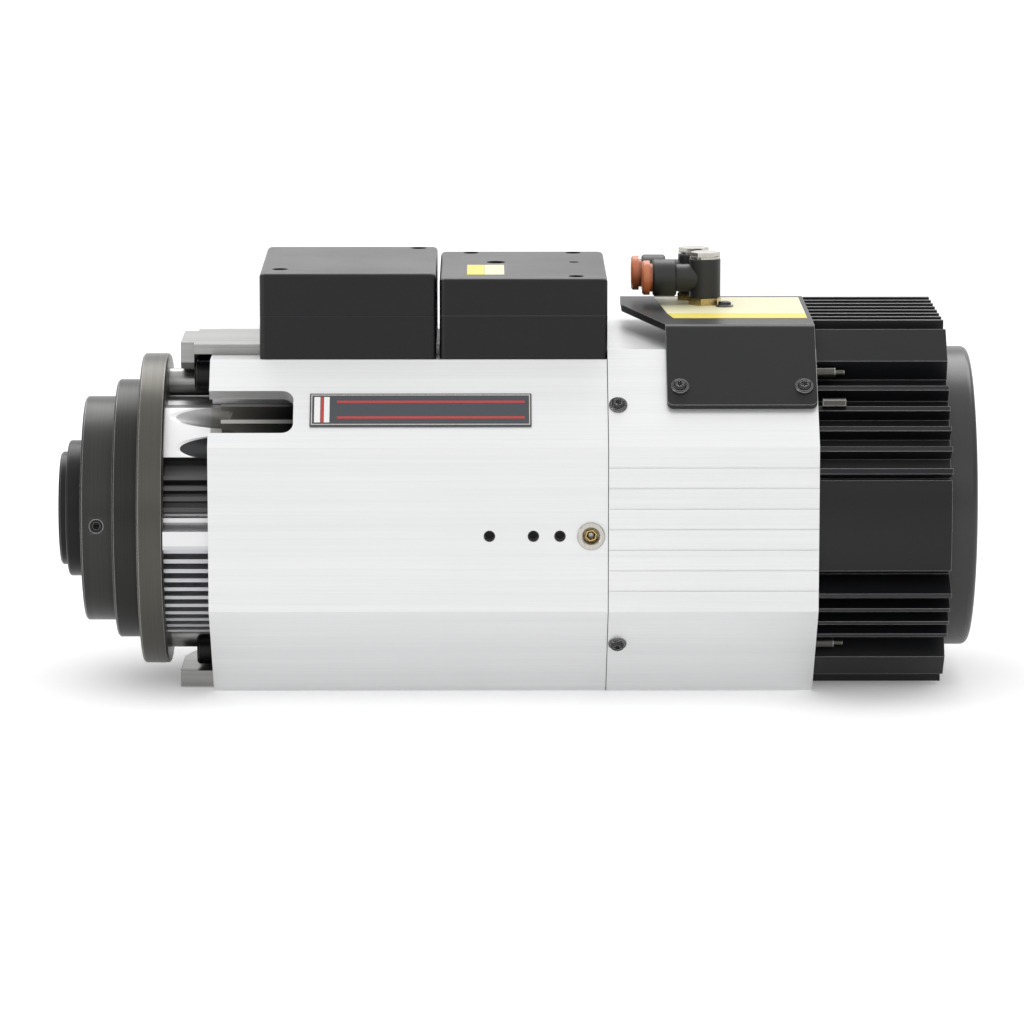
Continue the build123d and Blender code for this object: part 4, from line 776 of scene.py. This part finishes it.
# %% Make the air port
AIR_PORT = seat((232.7, SIDE_Y, 0.0), (0, -1, 0), 15.0)
PORT_DEPTH = 5.2
collar_profile = [(3.95, -PORT_DEPTH), (3.95, 0.0), (5.8, 0.0), (6.0, 0.15), (6.0, 0.7),
                  (5.9, 0.95), (5.6, 1.18), (4.2, 1.2), (3.6, 0.75), (3.4, 0.3),
                  (3.4, -PORT_DEPTH)]
shape = bmesh.new()
made = turned(shape, collar_profile, sides=64, closed=True)
bmesh.ops.transform(shape, matrix=AIR_PORT, verts=made)
settle("air_port_collar", shape, "nickel", replaces="air_port")

valve_profile = [(2.0, -PORT_DEPTH), (3.38, -PORT_DEPTH), (3.38, -3.4), (2.85, -3.2),
                 (2.85, -1.7), (2.6, -1.4), (2.1, -1.4), (1.9, -1.7), (1.2, -2.6),
                 (1.2, -PORT_DEPTH)]
shape = bmesh.new()
made = turned(shape, valve_profile, sides=6, closed=True)
bmesh.ops.transform(shape, matrix=AIR_PORT, verts=made)
settle("air_port_valve", shape, "brass")

# %% [markdown]
# ## The name plate
# Nothing is written on this spindle.  The plate has a thin silver border, a white field
# with a red bar, and two plain red lines.  They could be painted with a texture, but thin
# blocks with real thickness keep their edges sharp at any distance.

# %% Make the inlay of the name plate
PLATE = seat((159.45, -62.57, 53.07), (0, -1, 1))
HALF_LENGTH = 47.15
HALF_WIDTH = 8.1
BORDER = 0.5
INLAY_LIFT = 0.06
INLAY_EDGE = 0.04


def inlay(name, finish, fields):
    """Thin raised fields; each is (left, right, low, high) in mm from the plate's middle."""
    shape = bmesh.new()
    for left, right, low, high in fields:
        middle = ((left + right) / 2, (low + high) / 2, 0.0)
        block(shape, (right - left, high - low, 2 * INLAY_LIFT), PLATE, middle, INLAY_EDGE)
    settle(name, shape, finish)


inner_length = HALF_LENGTH - BORDER
inner_width = HALF_WIDTH - BORDER
inlay("plate_border", "nickel", [
    (-HALF_LENGTH, HALF_LENGTH, inner_width, HALF_WIDTH),
    (-HALF_LENGTH, HALF_LENGTH, -HALF_WIDTH, -inner_width),
    (-HALF_LENGTH, -inner_length, -inner_width, inner_width),
    (inner_length, HALF_LENGTH, -inner_width, inner_width)])
inlay("plate_white_field", "plate_white", [(-45.8, -43.2, -6.8, 6.8), (-41.6, -39.2, -6.8, 6.8)])
inlay("plate_red_field", "plate_red", [
    (-43.0, -41.8, -6.8, 6.8), (-36.0, 44.8, 3.6, 4.8), (-36.0, 44.8, -4.8, -3.6)])

# %% [markdown]
# ## The labels
# The labels on the bracket and on the signal box are blank, half cream and half yellow.
# A label could be a flat plane, but a plane has no edge and shows through from below.
# Each is a cube pressed thin and pulled to its four corners.

# %% Make the blank labels
LABEL_THICKNESS = 0.12
LABEL_GAP = 0.005
BRACKET_TOP = 86.0
LID_TOP = 107.2


def sheet(shape, corners, height):
    """A thin sheet on a height, with four corners (x, y) in mm, going round from the left."""
    front_left, front_right, back_right, back_left = corners
    for vertex in bmesh.ops.create_cube(shape, size=1.0)["verts"]:
        if vertex.co.y > 0:
            x, y = back_right if vertex.co.x > 0 else back_left
        else:
            x, y = front_right if vertex.co.x > 0 else front_left
        lift = LABEL_THICKNESS if vertex.co.z > 0 else LABEL_GAP
        vertex.co = Vector((x, y, height + lift)) * MM


labels = {
    "cream": [(((267.6, 4.1), (328.5, 4.1), (328.5, 60.0), (263.5, 60.0)), BRACKET_TOP),
              (((187.0, -28.0), (195.6, -28.0), (195.6, 7.0), (187.0, 7.0)), LID_TOP)],
    "yellow": [(((269.8, -12.0), (328.5, -12.0), (328.5, 4.0), (267.6, 4.0)), BRACKET_TOP),
               (((179.4, -28.0), (186.9, -28.0), (186.9, 7.0), (179.4, 7.0)), LID_TOP)],
}
for colour_name, sheets in labels.items():
    shape = bmesh.new()
    for corners, height in sheets:
        sheet(shape, corners, height)
    settle(colour_name + "_labels", shape, "label_" + colour_name)

# %% [markdown]
# ## The joint between the two housings
# Where the rear housing meets the front one, a narrow dark line runs over the plain side
# and the two facets.  It is the shadow of a joint that is a few tenths of a millimetre
# open.  A gap that narrow would flicker in a picture, so three thin dark strips, one on
# each face, draw it from every side.

# %% Make the joint line
JOINT_X = 240.12
JOINT_WIDTH = 0.3
JOINT_LIFT = 0.06
TOP_Z = 72.0
FACET_TOP_Y = -42.5
FACET_FOOT_Z = 38.5
LOWER_LEG = 43.0
LOWER_TOP_Z = SIDE_Y + LOWER_LEG
SLANT = math.sqrt(2.0)
side_middle = (JOINT_X, SIDE_Y, (FACET_FOOT_Z + LOWER_TOP_Z) / 2)
upper_middle = (JOINT_X, (SIDE_Y + FACET_TOP_Y) / 2, (FACET_FOOT_Z + TOP_Z) / 2)
lower_middle = (JOINT_X, SIDE_Y + LOWER_LEG / 2, SIDE_Y + LOWER_LEG / 2)
strips = [(side_middle, (0, -1, 0), FACET_FOOT_Z - LOWER_TOP_Z),
          (upper_middle, (0, -1, 1), (FACET_TOP_Y - SIDE_Y) * SLANT),
          (lower_middle, (0, -1, -1), LOWER_LEG * SLANT)]
shape = bmesh.new()
for middle, normal, length in strips:
    block(shape, (JOINT_WIDTH, length, JOINT_LIFT), seat(middle, normal))
# The strips are painted shadow; they use the dark rubber finish only for its colour.
settle("joint_line", shape, "seal_rubber")

# %% [markdown]
# ## A lug between the fins of the cowl
# Beside the upper post a short square lug stands out of the rear housing and steadies the
# cowl.  It is a plain block with broken edges, let a little way into the wall behind it,
# because a block that only touches the wall shows a gap.

# %% Make the cowl lug
LUG_START = 332.6
LUG_END = 343.0
LUG_SECTION = (4.2, 3.1)
LUG_Y = -57.4
LUG_Z = 55.3
lug_middle = Vector(((LUG_START + LUG_END) / 2, LUG_Y, LUG_Z)) * MM
shape = bmesh.new()
block(shape, (LUG_END - LUG_START, *LUG_SECTION), Matrix.Translation(lug_middle), edge=0.35)
settle("cowl_lug", shape, "warm_steel")

# %% [markdown]
# ## Glands
# The clamping nut of a cable gland has grips for the fingers and a rubber seal in its
# mouth.  The grips could be cut into the nut, but small blocks set round it look the same
# and leave the CAD node whole.  The seal is a spun ring.

# %% Make the grips and the seals of the glands
GLAND_AXES = (127.75, 203.9)
GLAND_HEIGHT = 82.2
NUT_START = 65.0
NUT_LENGTH = 10.0
GRIPS = 20
GRIP_SIZE = (1.1, 0.9, 6.6)
GRIP_CENTRE = (0.0, 8.55, 3.9)
GRIP_EDGE = 0.25
SEAL_PROFILE = [(4.65, 0.0), (5.9, 0.0), (6.1, 0.2), (5.7, 0.55), (5.0, 0.6), (4.65, 0.35)]
grips = bmesh.new()
seals = bmesh.new()
for axis in GLAND_AXES:
    for i in range(GRIPS):
        nut = seat((axis, NUT_START, GLAND_HEIGHT), (0, 1, 0), 360.0 * i / GRIPS)
        block(grips, GRIP_SIZE, nut, GRIP_CENTRE, GRIP_EDGE)
    mouth = seat((axis, NUT_START + NUT_LENGTH, GLAND_HEIGHT), (0, 1, 0))
    made = turned(seals, SEAL_PROFILE, sides=40, closed=True)
    bmesh.ops.transform(seals, matrix=mouth, verts=made)
settle("gland_grips", grips, "gland_plastic")
settle("gland_seals", seals, "seal_rubber")

# %% [markdown]
# ## The floor
# The floor is a plain pale sheet that reaches far past the frame.  A white sheet lit by
# soft lamps still comes out a little grey, so it glows very faintly by itself, which
# keeps it white without washing out the shadow under the spindle.

# %% Make the floor
FLOOR_HALF = 7.0
FLOOR_GLOW = 0.2
MIDDLE_X = 0.2
floor_mesh = bmesh.new()
bmesh.ops.create_grid(floor_mesh, x_segments=1, y_segments=1, size=FLOOR_HALF)
bmesh.ops.translate(floor_mesh, vec=(MIDDLE_X, 0.0, cad_low.z), verts=floor_mesh.verts)
floor_data = bpy.data.meshes.new("floor")
floor_mesh.to_mesh(floor_data)
floor_mesh.free()
floor = bpy.data.objects.new("floor", floor_data)
bpy.context.scene.collection.objects.link(floor)
floor_paint = bpy.data.materials.new("floor_paint")
floor_paint.use_nodes = True
floor_shader = floor_paint.node_tree.nodes["Principled BSDF"]
floor_shader.inputs["Base Color"].default_value = (0.98, 0.98, 0.98, 1.0)
floor_shader.inputs["Roughness"].default_value = 0.9
floor_shader.inputs["Specular IOR Level"].default_value = 0.1
floor_shader.inputs["Emission Color"].default_value = (1.0, 1.0, 1.0, 1.0)
floor_shader.inputs["Emission Strength"].default_value = FLOOR_GLOW
floor_data.materials.append(floor_paint)
print("floor", 2 * FLOOR_HALF, "m wide at height", cad_low.z)

# %% [markdown]
# ## The lights
# A wide ceiling and a softbox in front give an even light.  Black rings would vanish in
# it, so three more lamps are seen only in reflections: a strip above and behind, a low
# panel behind and a panel before the nose.  They draw the bright line along the top of
# each ring and leave the white body alone.

# %% Make the lights
MIDDLE = (MIDDLE_X, 0.0, 0.0)
NOSE = (0.0, 0.0, 0.0)


def softbox(name, place, aim, width, height, watts):
    light = bpy.data.lights.new(name, "AREA")
    light.shape = "RECTANGLE"
    light.size = width
    light.size_y = height
    light.energy = watts
    lamp = bpy.data.objects.new(name, light)
    lamp.location = place
    direction = Vector(aim) - Vector(place)
    lamp.rotation_euler = direction.to_track_quat("-Z", "Y").to_euler()
    lamp.visible_camera = False
    bpy.context.scene.collection.objects.link(lamp)
    return lamp


softbox("ceiling", (MIDDLE_X, 0.0, 4.5), MIDDLE, 10.0, 10.0, 150.0)
softbox("front_softbox", (MIDDLE_X, -3.0, 1.4), MIDDLE, 5.0, 1.5, 15.0)
gleams = [softbox("rear_strip", (MIDDLE_X, 1.9, 2.6), MIDDLE, 5.0, 2.2, 120.0),
          softbox("rear_panel", (MIDDLE_X, 3.0, 0.6), MIDDLE, 6.0, 0.9, 8.0),
          softbox("nose_panel", (-2.6, -1.6, 0.6), NOSE, 1.4, 1.6, 18.0)]
for gleam in gleams:
    gleam.visible_diffuse = False

# %% [markdown]
# ## The room
# A pale room fills in what the lamps leave dark.  If it lit the spindle as brightly as it
# should look, it would flatten the body.  So a ray that comes straight from the camera
# sees plain white, and every other ray sees a little less.

# %% Make the room
ROOM_LIGHT = 0.77
ROOM_LOOK = 1.0
room = bpy.data.worlds.new("pale_room")
room.use_nodes = True
tree = room.node_tree
rays = add(tree, "ShaderNodeLightPath")
backdrop = tree.nodes["Background"]
backdrop.inputs["Color"].default_value = (1.0, 1.0, 1.0, 1.0)
strength = between(tree, rays.outputs["Is Camera Ray"], ROOM_LIGHT, ROOM_LOOK)
tree.links.new(strength, backdrop.inputs["Strength"])
bpy.context.scene.world = room
bpy.context.scene.view_settings.view_transform = "Standard"
bpy.context.scene.view_settings.look = "None"
print("room light", ROOM_LIGHT, "room look", ROOM_LOOK)

# %% [markdown]
# ## Finish
# The box of the CAD is written down.  The dressing may fill in detail, but it may not
# make the spindle larger.

# %% Write the sizes and finish
print("CAD box", cad_low, cad_high)
